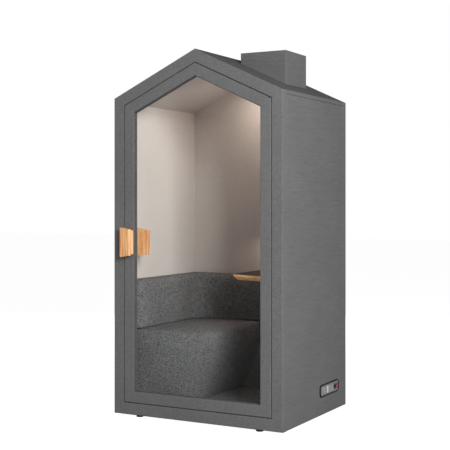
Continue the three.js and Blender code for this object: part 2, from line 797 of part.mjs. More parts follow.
function addBench() {
  const cushionFoot = seatHeight - cushionThickness;
  const plinthTop = cushionFoot - fitGap;
  const plinthFoot = floorZ + fitGap;
  const plinth = [
    [[0, 0], plinthFoot],
    [plinthFootShares, plinthFoot],
    [plinthWaistShares, plinthFoot + plinthWaistRise],
    [plinthBrowShares, plinthTop - plinthBrowDrop],
    [plinthTopShares, plinthTop],
    [[0, 0], plinthTop],
  ];
  addPiece('seat_plinth', cornerBody(plinth, () => 0), sofaCloth);
  addPiece('seat_cushion', cornerBody(cushionProfile(cushionFoot), cushionCrown), sofaCloth);
}

// Stations along the backrest: a foot on the wall and a point on the soft face, with a round inner corner
function backrestStations() {
  const faceX = cornerX + backrestThickness;
  const faceY = cornerY - backrestThickness;
  const frontEnd = frontY + backrestFromFront;
  const rightEnd = backrestReach - cabinX;
  const centre = new THREE.Vector2(faceX + backrestCornerRadius, faceY - backrestCornerRadius);
  const reach = backrestCornerRadius + backrestThickness;
  const stations = [];
  for (let i = 0; i <= backrestStraightSteps; i += 1) {
    const y = THREE.MathUtils.lerp(frontEnd, centre.y, i / backrestStraightSteps);
    stations.push({ wall: new THREE.Vector2(cornerX, y), face: new THREE.Vector2(faceX, y) });
  }
  for (let i = 1; i < backrestCornerSteps; i += 1) {
    const angle = (i / backrestCornerSteps) * (Math.PI / 2);
    const direction = new THREE.Vector2(-Math.cos(angle), Math.sin(angle));
    const wallReach = reach / Math.max(Math.cos(angle), Math.sin(angle));
    stations.push({
      wall: centre.clone().addScaledVector(direction, wallReach),
      face: centre.clone().addScaledVector(direction, backrestCornerRadius),
    });
  }
  for (let i = 0; i <= backrestStraightSteps; i += 1) {
    const x = THREE.MathUtils.lerp(centre.x, rightEnd, i / backrestStraightSteps);
    stations.push({ wall: new THREE.Vector2(x, cornerY), face: new THREE.Vector2(x, faceY) });
  }
  return stations;
}

// The backrest's section at one station, drawn in by an inset where an end rounds off
function backrestSection({ wall, face }, inset) {
  const thickness = wall.distanceTo(face);
  const inwards = wall.clone().sub(face).normalize();
  const foot = seatHeight + fitGap + inset;
  const top = backrestTop - inset;
  const points = [];
  const addCorner = (depth, height, radius, start, steps) => {
    for (let i = 0; i <= steps; i += 1) {
      const angle = start + ((i / steps) * Math.PI) / 2;
      points.push([depth - radius * Math.cos(angle), height + radius * Math.sin(angle)]);
    }
  };
  const soft = backrestEdgeRadius;
  const hard = backrestWallRadius;
  const wallDepth = thickness - hard;
  addCorner(inset + soft, foot + soft, soft, -Math.PI / 2, softArcSteps);
  for (let i = 1; i < backrestFaceSteps; i += 1) {
    const share = i / backrestFaceSteps;
    const crown = backrestCrown * Math.sin(Math.PI * share);
    points.push([inset - crown, THREE.MathUtils.lerp(foot, top, share)]);
  }
  addCorner(inset + soft, top - soft, soft, 0, softArcSteps);
  addCorner(wallDepth, top - hard, hard, Math.PI / 2, hardArcSteps);
  addCorner(wallDepth, foot + hard, hard, Math.PI, hardArcSteps);
  return points.map(([depth, height]) => {
    const place = face.clone().addScaledVector(inwards, depth);
    return [place.x, place.y, height];
  });
}

// One end of the backrest, rounded off along a quarter circle from its tip
function backrestEnd({ wall, face }, inwards) {
  const rings = [];
  for (let i = 0; i < backrestEndSteps; i += 1) {
    const angle = ((i + 0.5) / backrestEndSteps) * (Math.PI / 2);
    const distance = backrestEdgeRadius * (1 - Math.cos(angle));
    const station = {
      wall: wall.clone().addScaledVector(inwards, distance),
      face: face.clone().addScaledVector(inwards, distance),
    };
    rings.push(backrestSection(station, backrestEdgeRadius * (1 - Math.sin(angle))));
  }
  return rings;
}

function addBackrest() {
  const stations = backrestStations();
  const frontEnd = backrestEnd(stations[0], new THREE.Vector2(0, 1));
  const middle = stations.slice(1, -1).map((station) => backrestSection(station, 0));
  const rightEnd = backrestEnd(stations[stations.length - 1], new THREE.Vector2(-1, 0));
  const rings = [...frontEnd, ...middle, ...rightEnd.reverse()];
  addPiece('backrest', toGeometry(toSolid(loft(rings.reverse()))), sofaCloth);
}

const tableFrontAtWall = frontY + tableFromFrontAtWall;
const tableBack = cabinBackY - tableFromBack;

// The table's outline in plan, drawn in by an inset on its three free edges
function tableOutline(inset) {
  const left = cabinX - tableReach + inset;
  const lead = Math.atan2(tableFromFrontAtTip - tableFromFrontAtWall, tableReach);
  const shift = inset / Math.cos(lead);
  const tipRadius = tableTipRadius - inset;
  const backRadius = tableBackRadius - inset;
  const frontAt = (x) => tableFrontAtWall + shift + (cabinX - x) * Math.tan(lead);
  const tipX = left + tipRadius;
  const tipY = frontAt(tipX) + tipRadius / Math.cos(lead);
  const shape = new THREE.Shape();
  shape.moveTo(cabinX, tableBack - inset);
  shape.absarc(left + backRadius, tableBack - inset - backRadius, backRadius, Math.PI / 2, Math.PI);
  shape.absarc(tipX, tipY, tipRadius, Math.PI, Math.PI * 1.5 - lead);
  shape.lineTo(cabinX, frontAt(cabinX));
  return shape;
}

function addTable() {
  const top = tableHeight - laminateThickness;
  const foot = top - tableThickness;
  const ring = (inset, z) => tableOutline(inset).getPoints(arcFacets).map(({ x, y }) => [x, y, z]);
  addPiece('table_top', loft([ring(tableBevel, foot), ring(0, top - tableBand), ring(0, top)]), oak);
  addPiece('table_laminate', prismZ(tableOutline(0), top, laminateThickness), darkLaminate);
  const gusset = [[cabinX - bracketReach, foot], [cabinX, foot - bracketDrop], [cabinX, foot]];
  const places = { front: tableFrontAtWall + bracketFromFront, back: tableBack - bracketFromBack };
  for (const [name, y] of Object.entries(places)) {
    addPiece(`table_bracket_${name}`, prismY(gusset, y, bracketThickness), blackPlastic);
  }
}

const faceFront = halfWidth + faceThickness;
const flangeX = [faceFront, faceFront + socketProud];

// Where the mains inlet sits on the panel's face, and its body behind the flange
const inletHeight = rockerHeight + 2 * inletRim;
const inletY = panelY + faceLength / 2 - inletFromBack - inletLength / 2;
const inletBodyX = [faceFront - inletBodyDepth, faceFront];
const inletBodyY = spanAbout(inletY, inletLength - 2 * inletLip);
const inletBodyZ = spanAbout(panelZ, inletHeight - 2 * inletLip);

function addPanelFace() {
  const outer = roundedRectangle(panelY, panelZ, bezelLength, bezelHeight, bezelRadius);
  const window = roundedRectangle(panelY, panelZ, faceLength, faceHeight, faceRadius);
  const bezel = cut(prismX(outer, halfWidth, bezelProud), prismX(window, halfWidth - fitGap, 2 * bezelProud));
  addPiece('panel_bezel', bezel, blackPlastic);
  const plate = roundedRectangle(panelY, panelZ, faceLength - 2 * fitGap, faceHeight - 2 * fitGap,
    faceRadius - fitGap);
  const inletHole = block(grown(inletBodyX), grown(inletBodyY), grown(inletBodyZ));
  addPiece('panel_face', cut(prismX(plate, halfWidth, faceThickness), inletHole), greyMetal);
  const inside = block([boxX[0] + backBoxWall, boxX[1] + backBoxWall],
    grown(boxY, -backBoxWall), grown(boxZ, -backBoxWall));
  addPiece('panel_back_box', cut(block(boxX, boxY, boxZ), inside), greyMetal);
}

// Mains sockets on one pale plate, with their pin slots
function addSockets() {
  const socketFront = panelY - faceLength / 2 + socketFromFront;
  const slots = [];
  for (let i = 0; i < socketPinSlots; i += 1) {
    const y = socketFront + ((i + 0.5) * socketLength) / socketPinSlots;
    slots.push(block(grown(flangeX), spanAbout(y, slotWidth), spanAbout(panelZ, slotLength)));
  }
  const plate = block(flangeX, [socketFront, socketFront + socketLength], spanAbout(panelZ, socketHeight));
  addPiece('socket_block', cut(plate, ...slots), palePlastic);
}

// Mains inlet with its recess in the front half and the rocker's well in the back half
function addInlet() {
  const flangeShape = roundedRectangle(inletY, panelZ, inletLength, inletHeight, inletCorner);
  const flange = prismX(flangeShape, faceFront, socketProud);
  const body = block([inletBodyX[0], faceFront + fitGap], inletBodyY, inletBodyZ);
  const openX = flangeX[1] + fitGap;
  const recessY = inletY - inletLength / 4 + fitGap;
  const recess = block([flangeX[1] - inletRecessDepth, openX],
    spanAbout(recessY, inletRecessLength), spanAbout(panelZ, inletRecessHeight));
  const rockerX = faceFront - rockerSink;
  const rockerY = inletY + inletLength / 4;
  const rockerRadius = Math.hypot(rockerEdge, rockerHalfWidth);
  const well = block([rockerX - rockerRadius - rockerGap, openX],
    spanAbout(rockerY, 2 * (rockerRadius + rockerGap)), grown(spanAbout(panelZ, rockerHeight), rockerGap));
  const trunnionZ = spanAbout(panelZ, rockerHeight + 2 * rockerTrunnionLength);
  const trunnionHole = rod(rockerTrunnionRadius + fitGap, ...grown(trunnionZ), rockerX, rockerY);
  addPiece('inlet_module', cut(join(flange, body), recess, well, trunnionHole), blackPlastic);

  // The rocker: a drum about its trunnions with a shallow V across its face, tipped to its off side
  const edgeAngle = Math.atan2(rockerHalfWidth, rockerEdge);
  const drum = new THREE.Shape();
  drum.moveTo(rockerValley, 0);
  drum.lineTo(rockerEdge, rockerHalfWidth);
  drum.absarc(0, 0, rockerRadius, edgeAngle, 2 * Math.PI - edgeAngle);
  const rocker = join(prismZ(drum, panelZ - rockerHeight / 2, rockerHeight),
    rod(rockerTrunnionRadius, ...trunnionZ));
  addPiece('rocker', rocker.rotateZ(-rockerTilt).translate(rockerX, rockerY, 0), redPlastic);
}

addFrontPortal();
addPivots();
addDoorStop();
addDoor();
addSideWalls();
addBack();
addFloor();
addRoof();
addChimney();
addFan();
addRotor();
addDuct();
addLamp();
addBench();
addBackrest();
addTable();
addPanelFace();
addSockets();
addInlet();

const group = new THREE.Group();
group.add(pod);
export default group;
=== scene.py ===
"""Acoustic pod for one person: the looks of its pieces, a plain stage and the camera.

Metres, +Z up, +X to the pod's right seen from the front, +Y to the back.
"""
import json
import math

import bmesh
import bpy
import numpy as np
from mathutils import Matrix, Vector


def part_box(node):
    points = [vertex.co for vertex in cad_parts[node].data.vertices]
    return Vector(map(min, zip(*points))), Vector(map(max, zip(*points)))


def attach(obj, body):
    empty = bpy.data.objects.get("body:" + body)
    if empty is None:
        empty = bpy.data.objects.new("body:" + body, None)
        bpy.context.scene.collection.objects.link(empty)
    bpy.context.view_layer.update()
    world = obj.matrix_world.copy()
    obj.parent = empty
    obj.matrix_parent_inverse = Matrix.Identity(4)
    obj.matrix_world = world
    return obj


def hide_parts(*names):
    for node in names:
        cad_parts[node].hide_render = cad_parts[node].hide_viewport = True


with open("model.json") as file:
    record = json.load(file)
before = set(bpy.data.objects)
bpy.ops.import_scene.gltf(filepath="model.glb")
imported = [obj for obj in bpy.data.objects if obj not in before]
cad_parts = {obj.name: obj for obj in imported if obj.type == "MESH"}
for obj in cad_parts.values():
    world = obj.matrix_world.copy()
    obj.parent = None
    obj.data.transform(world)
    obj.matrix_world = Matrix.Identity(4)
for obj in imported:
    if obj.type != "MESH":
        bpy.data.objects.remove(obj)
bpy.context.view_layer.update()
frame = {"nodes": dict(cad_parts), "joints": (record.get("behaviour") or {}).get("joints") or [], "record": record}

bl_info = {
    "name": "Acoustic pod",
    "version": (1, 0, 0),
    "blender": (4, 5, 0),
    "location": "View3D > Sidebar > Pod",
    "description": "Builds the visible pieces of a house-shaped acoustic pod round its fixed frame",
    "category": "Object",
}

MM = 0.001
TAU = 2 * math.pi
QUARTER = math.pi / 2

# Places measured on the frame
sill_low, sill_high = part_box("front_sill")
rail_low, rail_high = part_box("door_rail_bottom")
back_low, back_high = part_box("back_panel")
carpet_low, carpet_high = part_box("carpet")
HALF_WIDTH = sill_high.x
BASE = sill_low.z
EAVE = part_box("front_post_left")[1].z
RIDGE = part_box("front_rafter_left")[1].z
FRONT = sill_low.y
PORTAL_BACK = sill_high.y
PORTAL_FACE = sill_high.z - sill_low.z
LEAF_INSET = rail_low.z - BASE
LEAF_FACE = rail_high.z - rail_low.z
LEAF_BACK = rail_high.y
SHELL_BACK = back_low.y
BACK = back_high.y
CABIN_X = carpet_high.x
CABIN_BACK = carpet_high.y
FLOOR = carpet_high.z
PITCH = math.atan2(RIDGE - EAVE, HALF_WIDTH)
SLOPE = math.tan(PITCH)
LEAN = math.cos(PITCH)

SLOT_COLOUR = {m["slot"]: m["base_color"][:3] for m in frame["record"]["materials"]}


def length(name, description, default):
    """A size in metres that a user may change."""
    return bpy.props.FloatProperty(name=name, description=description, default=default, unit="LENGTH", precision=4)


def colour(name, description, default):
    """A colour, in linear values, that a user may change."""
    return bpy.props.FloatVectorProperty(
        name=name, description=description, default=default, size=3, subtype="COLOR", min=0, max=1)


def slot_colour(name, slot):
    """A colour whose default comes from the record's material slot."""
    return colour(name, f"Base colour of the {name.lower()}", SLOT_COLOUR[slot])


class PodSizes(bpy.types.PropertyGroup):
    portal_edge: length("Portal edge", "Radius of the portal's and rear panel's outer edges", 5 * MM)
    joint_edge: length("Joint edge", "Radius of the edges beside the door joint", 4.5 * MM)
    seam_edge: length("Seam edge", "Radius of the edges where two felt panels meet", 2.5 * MM)
    reveal_edge: length("Reveal edge", "Radius of the door leaf's edges round the glass", 3 * MM)
    pull_edge: length("Pull edge", "Radius of the wooden pulls' edges", 4 * MM)
    chimney_edge: length("Chimney edge", "Radius of the chimney's edges", 4 * MM)
    table_band: length("Table band", "Height of the upright part of the table's edge", 14 * MM)
    carpet_rib: length("Carpet rib", "Distance between the carpet's rows of loops", 9 * MM)
    carpet_pile: length("Carpet pile", "Height of the carpet's loops", 1.6 * MM)
    swell: length("Swell", "Farthest that the padding may swell", 9 * MM)


class PodColours(bpy.types.PropertyGroup):
    felt: slot_colour("Shell felt", "shell_felt")
    stop: slot_colour("Stop felt", "stop_felt")
    lining: colour("Lining felt", "Base colour of the lining felt", (0.61, 0.541, 0.514))
    core: slot_colour("Core fibre", "core_foam")
    carpet: slot_colour("Carpet", "carpet")
    cloth: colour("Upholstery", "Base colour of the upholstery", (0.1135, 0.107, 0.1105))
    board: slot_colour("Raw board", "board")
    oak: slot_colour("Oak", "oak")
    laminate: slot_colour("Table laminate", "laminate")
    steel: slot_colour("Steel", "steel")
    face: slot_colour("Panel face", "face_metal")
    sheet: slot_colour("Sheet metal", "sheet_metal")
    socket: slot_colour("Socket plastic", "socket_plastic")
    rocker: slot_colour("Rocker", "rocker_red")
    rubber: colour("Gasket", "Base colour of the gasket", (0.085, 0.085, 0.085))
    lamp_light: colour("Lamp light", "Colour of the ceiling lamp's light", (1.0, 0.87, 0.765))


# Outlines and surfaces


def unit(vectors):
    """Vectors scaled to length one."""
    return vectors / np.linalg.norm(vectors, axis=-1, keepdims=True)


def rectangle(u0, u1, v0, v1):
    """The four corners of a rectangle, anticlockwise from its low corner."""
    return np.array([[u0, v0], [u1, v0], [u1, v1], [u0, v1]], float)


def drawn_in(corners, insets):
    """An anticlockwise polygon with each edge moved inwards by its own inset.

    A corner moves by the vector whose parts along the two edges' inward normals are their insets.
    """
    edge = unit(np.roll(corners, -1, 0) - corners)
    after = np.stack([-edge[:, 1], edge[:, 0]], 1)
    before = np.roll(after, 1, 0)
    d_after = np.broadcast_to(np.asarray(insets, float), len(corners))
    d_before = np.roll(d_after, 1)
    across = (before * after).sum(1)
    a = ((d_before - across * d_after) / (1 - across**2))[:, None]
    b = ((d_after - across * d_before) / (1 - across**2))[:, None]
    return corners + a * before + b * after


def rounded(corners, radii, steps=5):
    """A closed loop round a polygon whose corners are arcs.

    Each arc touches both edges at radius / tan(half the corner's angle) from the corner. One more point
    on either side of the arc keeps the flat stretches flat when the surface is shaded smooth.
    """
    radii = np.maximum(np.broadcast_to(np.asarray(radii, float), len(corners)), 0)
    to_last = unit(np.roll(corners, 1, 0) - corners)
    to_next = unit(np.roll(corners, -1, 0) - corners)
    half = np.arccos(np.clip((to_last * to_next).sum(1), -1, 1)) / 2
    reach = (radii / np.tan(half))[:, None]
    centre = corners + unit(to_last + to_next) * (radii / np.sin(half))[:, None]
    start = corners + to_last * reach - centre
    end = corners + to_next * reach - centre
    turn = (math.pi - 2 * half)[:, None, None]
    share = np.linspace(0, 1, steps)[None, :, None]
    arcs = np.sin((1 - share) * turn) * start[:, None] + np.sin(share * turn) * end[:, None]
    arcs = centre[:, None] + arcs / np.sin(turn)
    hold = 0.4 * reach
    first = (corners + to_last * (reach + hold))[:, None]
    last = (corners + to_next * (reach + hold))[:, None]
    return np.concatenate([first, arcs, last], 1).reshape(-1, 2)


def resampled(loop, per_edge):
    """A closed loop with each edge divided into equal steps."""
    share = np.arange(per_edge)[None, :, None] / per_edge
    return (loop[:, None] * (1 - share) + np.roll(loop, -1, 0)[:, None] * share).reshape(-1, 2)


def smooth_curve(places, count):
    """Points at equal distances on a Catmull-Rom curve through given places."""
    ends = np.concatenate([places[:1], places, places[-1:]])
    p0, p1, p2, p3 = (ends[k:len(ends) - 3 + k][:, None] for k in range(4))
    t = np.linspace(0, 1, 40)[None, :, None]
    fine = 0.5 * (2 * p1 + (p2 - p0) * t + (2 * p0 - 5 * p1 + 4 * p2 - p3) * t**2
                  + (3 * p1 - p0 - 3 * p2 + p3) * t**3)
    fine = fine.reshape(-1, places.shape[1])
    walked = np.concatenate([[0], np.cumsum(np.linalg.norm(np.diff(fine, axis=0), axis=1))])
    wanted = np.linspace(0, walked[-1], count)
    return np.stack([np.interp(wanted, walked, column) for column in fine.T], 1)


def facing_x(u, v, w):
    """Outline in Y and Z, level along X."""
    return np.stack(np.broadcast_arrays(w, u, v), -1)


def facing_y(u, v, w):
    """Outline in X and Z, level along Y."""
    return np.stack(np.broadcast_arrays(u, w, v), -1)


def facing_z(u, v, w):
    """Outline in X and Y, level along Z."""
    return np.stack(np.broadcast_arrays(u, v, w), -1)


def on_slope(middle):
    """Outline on the right roof slope: u runs down the slope, v to the back, w square to it."""
    def place(u, v, w):
        x = middle[0] + u * math.cos(PITCH) + w * math.sin(PITCH)
        z = middle[2] - u * math.sin(PITCH) + w * math.cos(PITCH)
        return np.stack(np.broadcast_arrays(x, middle[1] + v, z), -1)
    return place


def skin(rings, closed=False):
    """Quads between successive closed rings of points; flat caps shut the ends unless the rings close too."""
    count, size = rings.shape[:2]
    index = np.arange(count * size).reshape(count, size)
    beside = np.roll(index, -1, axis=1)
    quads = np.stack([index, beside, np.roll(beside, -1, 0), np.roll(index, -1, 0)], -1)
    faces = quads[:count if closed else count - 1].reshape(-1, 4).tolist()
    if not closed:
        faces += [index[0, ::-1].tolist(), index[-1].tolist()]
    return rings.reshape(-1, 3), faces


def edge_profile(low, high, low_edge, high_edge, steps=5):
    """[inset, level] pairs up the side of a plate, with a quarter circle at its low and at its high edge."""
    turn = np.linspace(0, QUARTER, steps)
    lower = np.stack([low_edge * (1 - np.sin(turn)), low + low_edge * (1 - np.cos(turn))], 1)
    upper = np.stack([high_edge * (1 - np.cos(turn)), high - high_edge * (1 - np.sin(turn))], 1)
    inner = np.array([[1.5 * low_edge, low]])
    outer = np.array([[1.5 * high_edge, high]])
    return np.concatenate([inner, lower, upper, outer])


def plate(corners, profile, place, radii=0.0, shares=1.0, hole=None, per_edge=1):
    """A plate over a polygon: its rounded outline, drawn in along a profile of [inset, level] pairs.

    Each edge takes its share of the inset. With a hole, a loop of as many points, the rings go on down the
    hole's wall and close on themselves.
    """
    loops = [resampled(rounded(drawn_in(corners, inset * np.asarray(shares)), radii - inset), per_edge)
             for inset, _ in profile]
    levels = list(profile[:, 1])
    if hole is not None:
        loops += [hole, hole]
        levels += [levels[-1], levels[0]]
    rings = np.stack([place(loop[:, 0], loop[:, 1], level) for loop, level in zip(loops, levels)])
    return skin(rings, closed=hole is not None)


def panel(corners, low, high, place, low_edge=0.0, high_edge=0.0, **options):
    """A plate of one thickness with rounded edges."""
    return plate(corners, edge_profile(low, high, low_edge, high_edge), place, **options)


def turned(profile, place, facets=48, flute=0.0, flutes=0):
    """A profile of [radius, height] pairs turned about its axis; flutes press waves into its radius."""
    angle = np.arange(facets) * TAU / facets
    radius = profile[:, :1] * (1 - flute * (1 - np.cos(flutes * angle)) / 2)
    return skin(place(radius * np.cos(angle), radius * np.sin(angle), profile[:, 1:]))


def joined(*shapes):
    """Several shapes as one list of points and one list of faces."""
    starts = np.cumsum([0] + [len(points) for points, _ in shapes])
    faces = [[int(start) + i for i in face] for start, (_, polygons) in zip(starts, shapes) for face in polygons]
    return np.concatenate([points for points, _ in shapes]), faces


def house(inset):
    """Corners [x, z] of the house outline drawn in by an inset, anticlockwise from the bottom left.

    The eave corner drops by inset / cos(pitch) and rises by inset * tan(pitch); insets may be an array.
    """
    inset = np.asarray(inset, float)
    side = HALF_WIDTH - inset
    corner = EAVE + inset * SLOPE - inset / LEAN
    x = np.stack([-side, side, side, 0 * inset, -side], -1)
    z = np.stack([BASE + inset, BASE + inset, corner, RIDGE - inset / LEAN, corner], -1)
    return np.stack([x, z], -1)


HOUSE_EDGES = {"bottom": 0, "right": 1, "right_slope": 2, "left_slope": 3, "left": 4}


def mitred_bar(edge, section, notch=None):
    """A bar along one edge of the house outline.

    Each point [inset, y] of the section runs between two corners of the outline drawn in by that inset,
    so both ends are cut on the mitre. A notch [x, z] holds the bar's start below z as far as x.
    """
    corners = house(section[:, 0])
    start = corners[:, edge]
    end = corners[:, (edge + 1) % 5]
    stations = [start, end]
    if notch:
        share = np.clip((start[:, :1] - notch[0]) / (start[:, :1] - end[:, :1]), 1e-3, 1)
        turn = start + share * (end - start)
        cut = [np.stack([p[:, 0], np.minimum(p[:, 1], notch[1])], 1) for p in (start, turn)]
        stations = [*cut, turn + 1e-3 * (end - start), end]
    rings = np.stack([facing_y(p[:, 0], p[:, 1], section[:, 1]) for p in stations])
    return skin(rings)


def house_ring(section):
    """A closed ring round the house outline: each point [inset, y] of the section follows its own outline."""
    corners = house(section[:, 0]).transpose(1, 0, 2)
    return skin(facing_y(corners[..., 0], corners[..., 1], section[None, :, 1]), closed=True)


# Finishes


class Look:
    """A procedural material: one Principled shader, and short calls that put nodes in front of it."""

    def __init__(self, name, **sockets):
        self.material = bpy.data.materials.new(name)
        self.material.use_nodes = True
        self.tree = self.material.node_tree
        self.shader = self.tree.nodes["Principled BSDF"]
        for socket, value in sockets.items():
            self.put(self.shader.inputs[socket.replace("_", " ")], value)
        self.place = self.tree.nodes.new("ShaderNodeTexCoord").outputs["Object"]

    def put(self, socket, value):
        """Link a socket, or set its value."""
        if isinstance(value, bpy.types.NodeSocket):
            self.tree.links.new(value, socket)
        else:
            socket.default_value = value

    def add(self, kind, inputs, **settings):
        """A new node with its settings and inputs."""
        node = self.tree.nodes.new("ShaderNode" + kind)
        for name, value in settings.items():
            setattr(node, name, value)
        for key, value in inputs.items():
            self.put(node.inputs[key], value)
        return node

    def noise(self, scale, detail=2.0, rough=0.5):
        """Noise with its own count of grains per metre along X, Y and Z."""
        stretch = self.add("Mapping", {"Vector": self.place, "Scale": scale}).outputs[0]
        inputs = {"Vector": stretch, "Scale": 1.0, "Detail": detail, "Roughness": rough}
        return self.add("TexNoise", inputs).outputs[0]

    def cells(self, scale):
        """Distance to the nearest of many scattered points, with a count of points per metre."""
        stretch = self.add("Mapping", {"Vector": self.place, "Scale": scale}).outputs[0]
        return self.add("TexVoronoi", {"Vector": stretch, "Scale": 1.0}).outputs["Distance"]

    def total(self, *parts):
        """The sum of sockets, each times its weight."""
        result = 0.0
        for socket, weight in parts:
            node = self.add("Math", {0: socket, 1: weight, 2: result}, operation="MULTIPLY_ADD")
            result = node.outputs[0]
        return result

    def ramp(self, factor, *stops):
        """A colour that changes with a factor through [position, colour] stops."""
        node = self.add("ValToRGB", {"Fac": factor})
        elements = node.color_ramp.elements
        while len(elements) < len(stops):
            elements.new(0.5)
        for element, (position, shade) in zip(elements, stops):
            element.position = position
            element.color = (*shade, 1)
        return node.outputs[0]

    def shades(self, base, factor, spread, low=0.3, high=0.7):
        """The base colour, darker and lighter by a spread as the factor goes from low to high."""
        base = np.array(base)
        return self.ramp(factor, (low, base * (1 - spread)), (high, np.minimum(base * (1 + spread), 1)))

    def along(self, axis):
        """The place along one axis."""
        return self.add("SeparateXYZ", {"Vector": self.place}).outputs[axis]

    def share(self, value, start, stop):
        """How far a value is on its way from start to stop, between 0 and 1."""
        return self.add("MapRange", {"Value": value, "From Min": start, "From Max": stop}).outputs[0]

    def mixed(self, share, first, second):
        """A colour between two others."""
        mix = self.add("Mix", {}, data_type="RGBA")
        for socket, value in ((mix.inputs[0], share), (mix.inputs[6], first), (mix.inputs[7], second)):
            self.put(socket, value)
        return mix.outputs[2]

    def paint(self, socket):
        """Use a colour as the base colour."""
        self.put(self.shader.inputs["Base Color"], socket)
        return self

    def rough(self, factor, low, high):
        """Roughness that follows a factor between two values."""
        node = self.add("MapRange", {"Value": factor, "To Min": low, "To Max": high})
        self.put(self.shader.inputs["Roughness"], node.outputs[0])
        return self

    def bump(self, height, distance, strength=1.0):
        """Fine relief of a given depth."""
        node = self.add("Bump", {"Height": height, "Distance": distance, "Strength": strength})
        self.put(self.shader.inputs["Normal"], node.outputs[0])
        return self


def felt(name, base, spread, streak, shade=1.0, shaded=None):
    """Pressed felt: fine fibres, a heather of small flecks and, by the streak weight, level slubs.

    The function shaded gives the share by which the felt takes on its painted shade: the base times shade, painted
    darker where less light falls.
    """
    look = Look(name, Roughness=1.0, Specular_IOR_Level=0.04, Sheen_Weight=0.01, Sheen_Roughness=0.6)
    fibre = look.noise((700, 700, 700), 3)
    fleck = look.noise((150, 150, 170), 3, 0.65)
    slub = look.noise((9, 9, 330), 2, 0.6)
    cloud = look.noise((3, 3, 3), 2)
    tone = look.total((fibre, 0.25), (fleck, 0.65 - streak), (slub, streak), (cloud, 0.1))
    base = np.array(base)
    paint = look.shades(base, tone, spread)
    if shaded is not None:
        # Painted shade: where the share is 1 the felt takes a darker copy of itself.
        paint = look.mixed(shaded(look), paint, look.shades(base * shade, tone, spread))
    look.paint(paint)
    return look.bump(look.total((fibre, 0.6), (slub, 0.4)), 0.6 * MM).material


def on_roof(look):
    """1 on the roof's slopes, 0 just below them: where the felt takes its painted shade, the faces on the roof painted
    darker as less light falls on them.
    """
    across = look.add("Math", {0: look.along(0)}, operation="ABSOLUTE").outputs[0]
    return look.share(look.total((across, SLOPE), (look.along(2), 1.0)), RIDGE - 2.5 * MM, RIDGE - 1.5 * MM)


def near_floor(look):
    """1 on the lowest part of the walls, 0 above the seat: where the lining takes its painted shade, the deep shade
    under the seat and table painted in.
    """
    return look.share(look.along(2), 0.6, 0.5)


def upholstery(name, base, spread, shade=1.0, shaded=None):
    """Woven wool: a two-way weave in relief under a coarse heather of light and dark yarn.

    The function shaded gives the share by which the cloth takes on its painted shade: the base times shade, painted
    darker where less light falls.
    """
    look = Look(name, Roughness=0.95, Specular_IOR_Level=0.08, Sheen_Weight=0.02, Sheen_Roughness=0.5)
    yarn = look.noise((320, 220, 320), 2, 0.6)
    heather = look.noise((120, 72, 120), 3, 0.7)
    weave = [look.add("TexWave", {"Vector": look.place, "Scale": 130.0, "Distortion": 1.0}, bands_direction=axis)
             for axis in ("X", "Y", "Z")]
    tone = look.total((yarn, 0.35), (heather, 0.65))
    base = np.array(base)
    paint = look.shades(base, tone, spread, 0.38, 0.62)
    if shaded is not None:
        # Painted shade: where the share is 1 the cloth takes a darker copy of itself.
        paint = look.mixed(shaded(look), paint, look.shades(base * shade, tone, 0.45, 0.38, 0.62))
    look.paint(paint)
    relief = look.total((weave[0].outputs["Fac"], 0.33), (weave[1].outputs["Fac"], 0.33),
                        (weave[2].outputs["Fac"], 0.33), (yarn, 0.5))
    return look.bump(relief, 0.5 * MM).material


def on_seat(look):
    """1 on the seat, 0 on the bench's sides: where the cloth takes its painted shade, the seat's top and roll painted
    darker as less light falls on them.
    """
    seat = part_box("seat_cushion")[1].z
    return look.share(look.along(2), seat - 42 * MM, seat - 10 * MM)


def loop_carpet(name, base):
    """Dark loops: each loop a cell painted lighter at its top and darker towards its edge, a painted shade in the
    hollows between the loops, with scattered pale yarn.
    """
    look = Look(name, Roughness=1.0, Specular_IOR_Level=0.1, Sheen_Weight=0.1)
    loop = look.cells((120, 120, 120))
    yarn = look.noise((75, 75, 75), 3, 0.75)
    tone = look.total((loop, -0.5), (yarn, 1.0))
    base = np.array(base)
    look.paint(look.ramp(tone, (0.05, base * 0.9), (0.28, base * 1.8), (0.5, base * 3.4)))
    return look.bump(loop, -2 * MM).material


def oak(name, base, grain, painted_light_from=None):
    """Oiled oak: long streaks along the grain from pale to orange, with fine dark pores.

    Beyond the place given as the last argument, along X, the wood is painted paler: a painted light on the face that
    turns to the lights.
    """
    look = Look(name, Specular_IOR_Level=0.35, Coat_Weight=0.08, Coat_Roughness=0.3)
    along = np.array(grain, float)
    streak = look.noise(tuple(150 - 143 * along), 2, 0.55)
    band = look.noise(tuple(50 - 47 * along), 2, 0.5)
    pore = look.noise(tuple(1500 - 1470 * along), 1)
    tone = look.total((streak, 0.6), (band, 0.4), (pore, 0.12))
    base = np.array(base)
    stops = ((0.47, (0.9, 0.52, 0.38)), (0.55, (1.0, 1.0, 1.0)), (0.64, (1.2, 1.34, 1.5)))
    wood = look.ramp(tone, *((place, np.minimum(base * shade, 1)) for place, shade in stops))
    # Painted light: past that place the wood takes a paler copy of its grain, as on a face lit from the right.
    if painted_light_from is not None:
        side = base * np.array([1.32, 1.7, 2.1])
        pale = look.ramp(tone, *((place, np.minimum(side * np.sqrt(shade), 1)) for place, shade in stops))
        wood = look.mixed(look.share(look.along(0), painted_light_from, painted_light_from + MM), wood, pale)
    look.paint(wood)
    look.rough(pore, 0.4, 0.6)
    return look.bump(look.total((pore, 0.6), (streak, 0.4)), 0.15 * MM).material


def laminate(name, base):
    """Dark wood laminate: a faint long grain under a satin surface."""
    look = Look(name, Specular_IOR_Level=0.12)
    grain = look.noise((160, 7, 160), 3, 0.6)
    look.paint(look.shades(base, grain, 0.4))
    look.rough(grain, 0.35, 0.55)
    return look.bump(grain, 0.05 * MM).material


def board(name, base):
    """Raw chipboard: scattered pale and dark chips."""
    look = Look(name, Roughness=0.85)
    chip = look.noise((210, 210, 90), 2)
    look.paint(look.shades(base, chip, 0.45))
    return look.bump(chip, 0.3 * MM).material


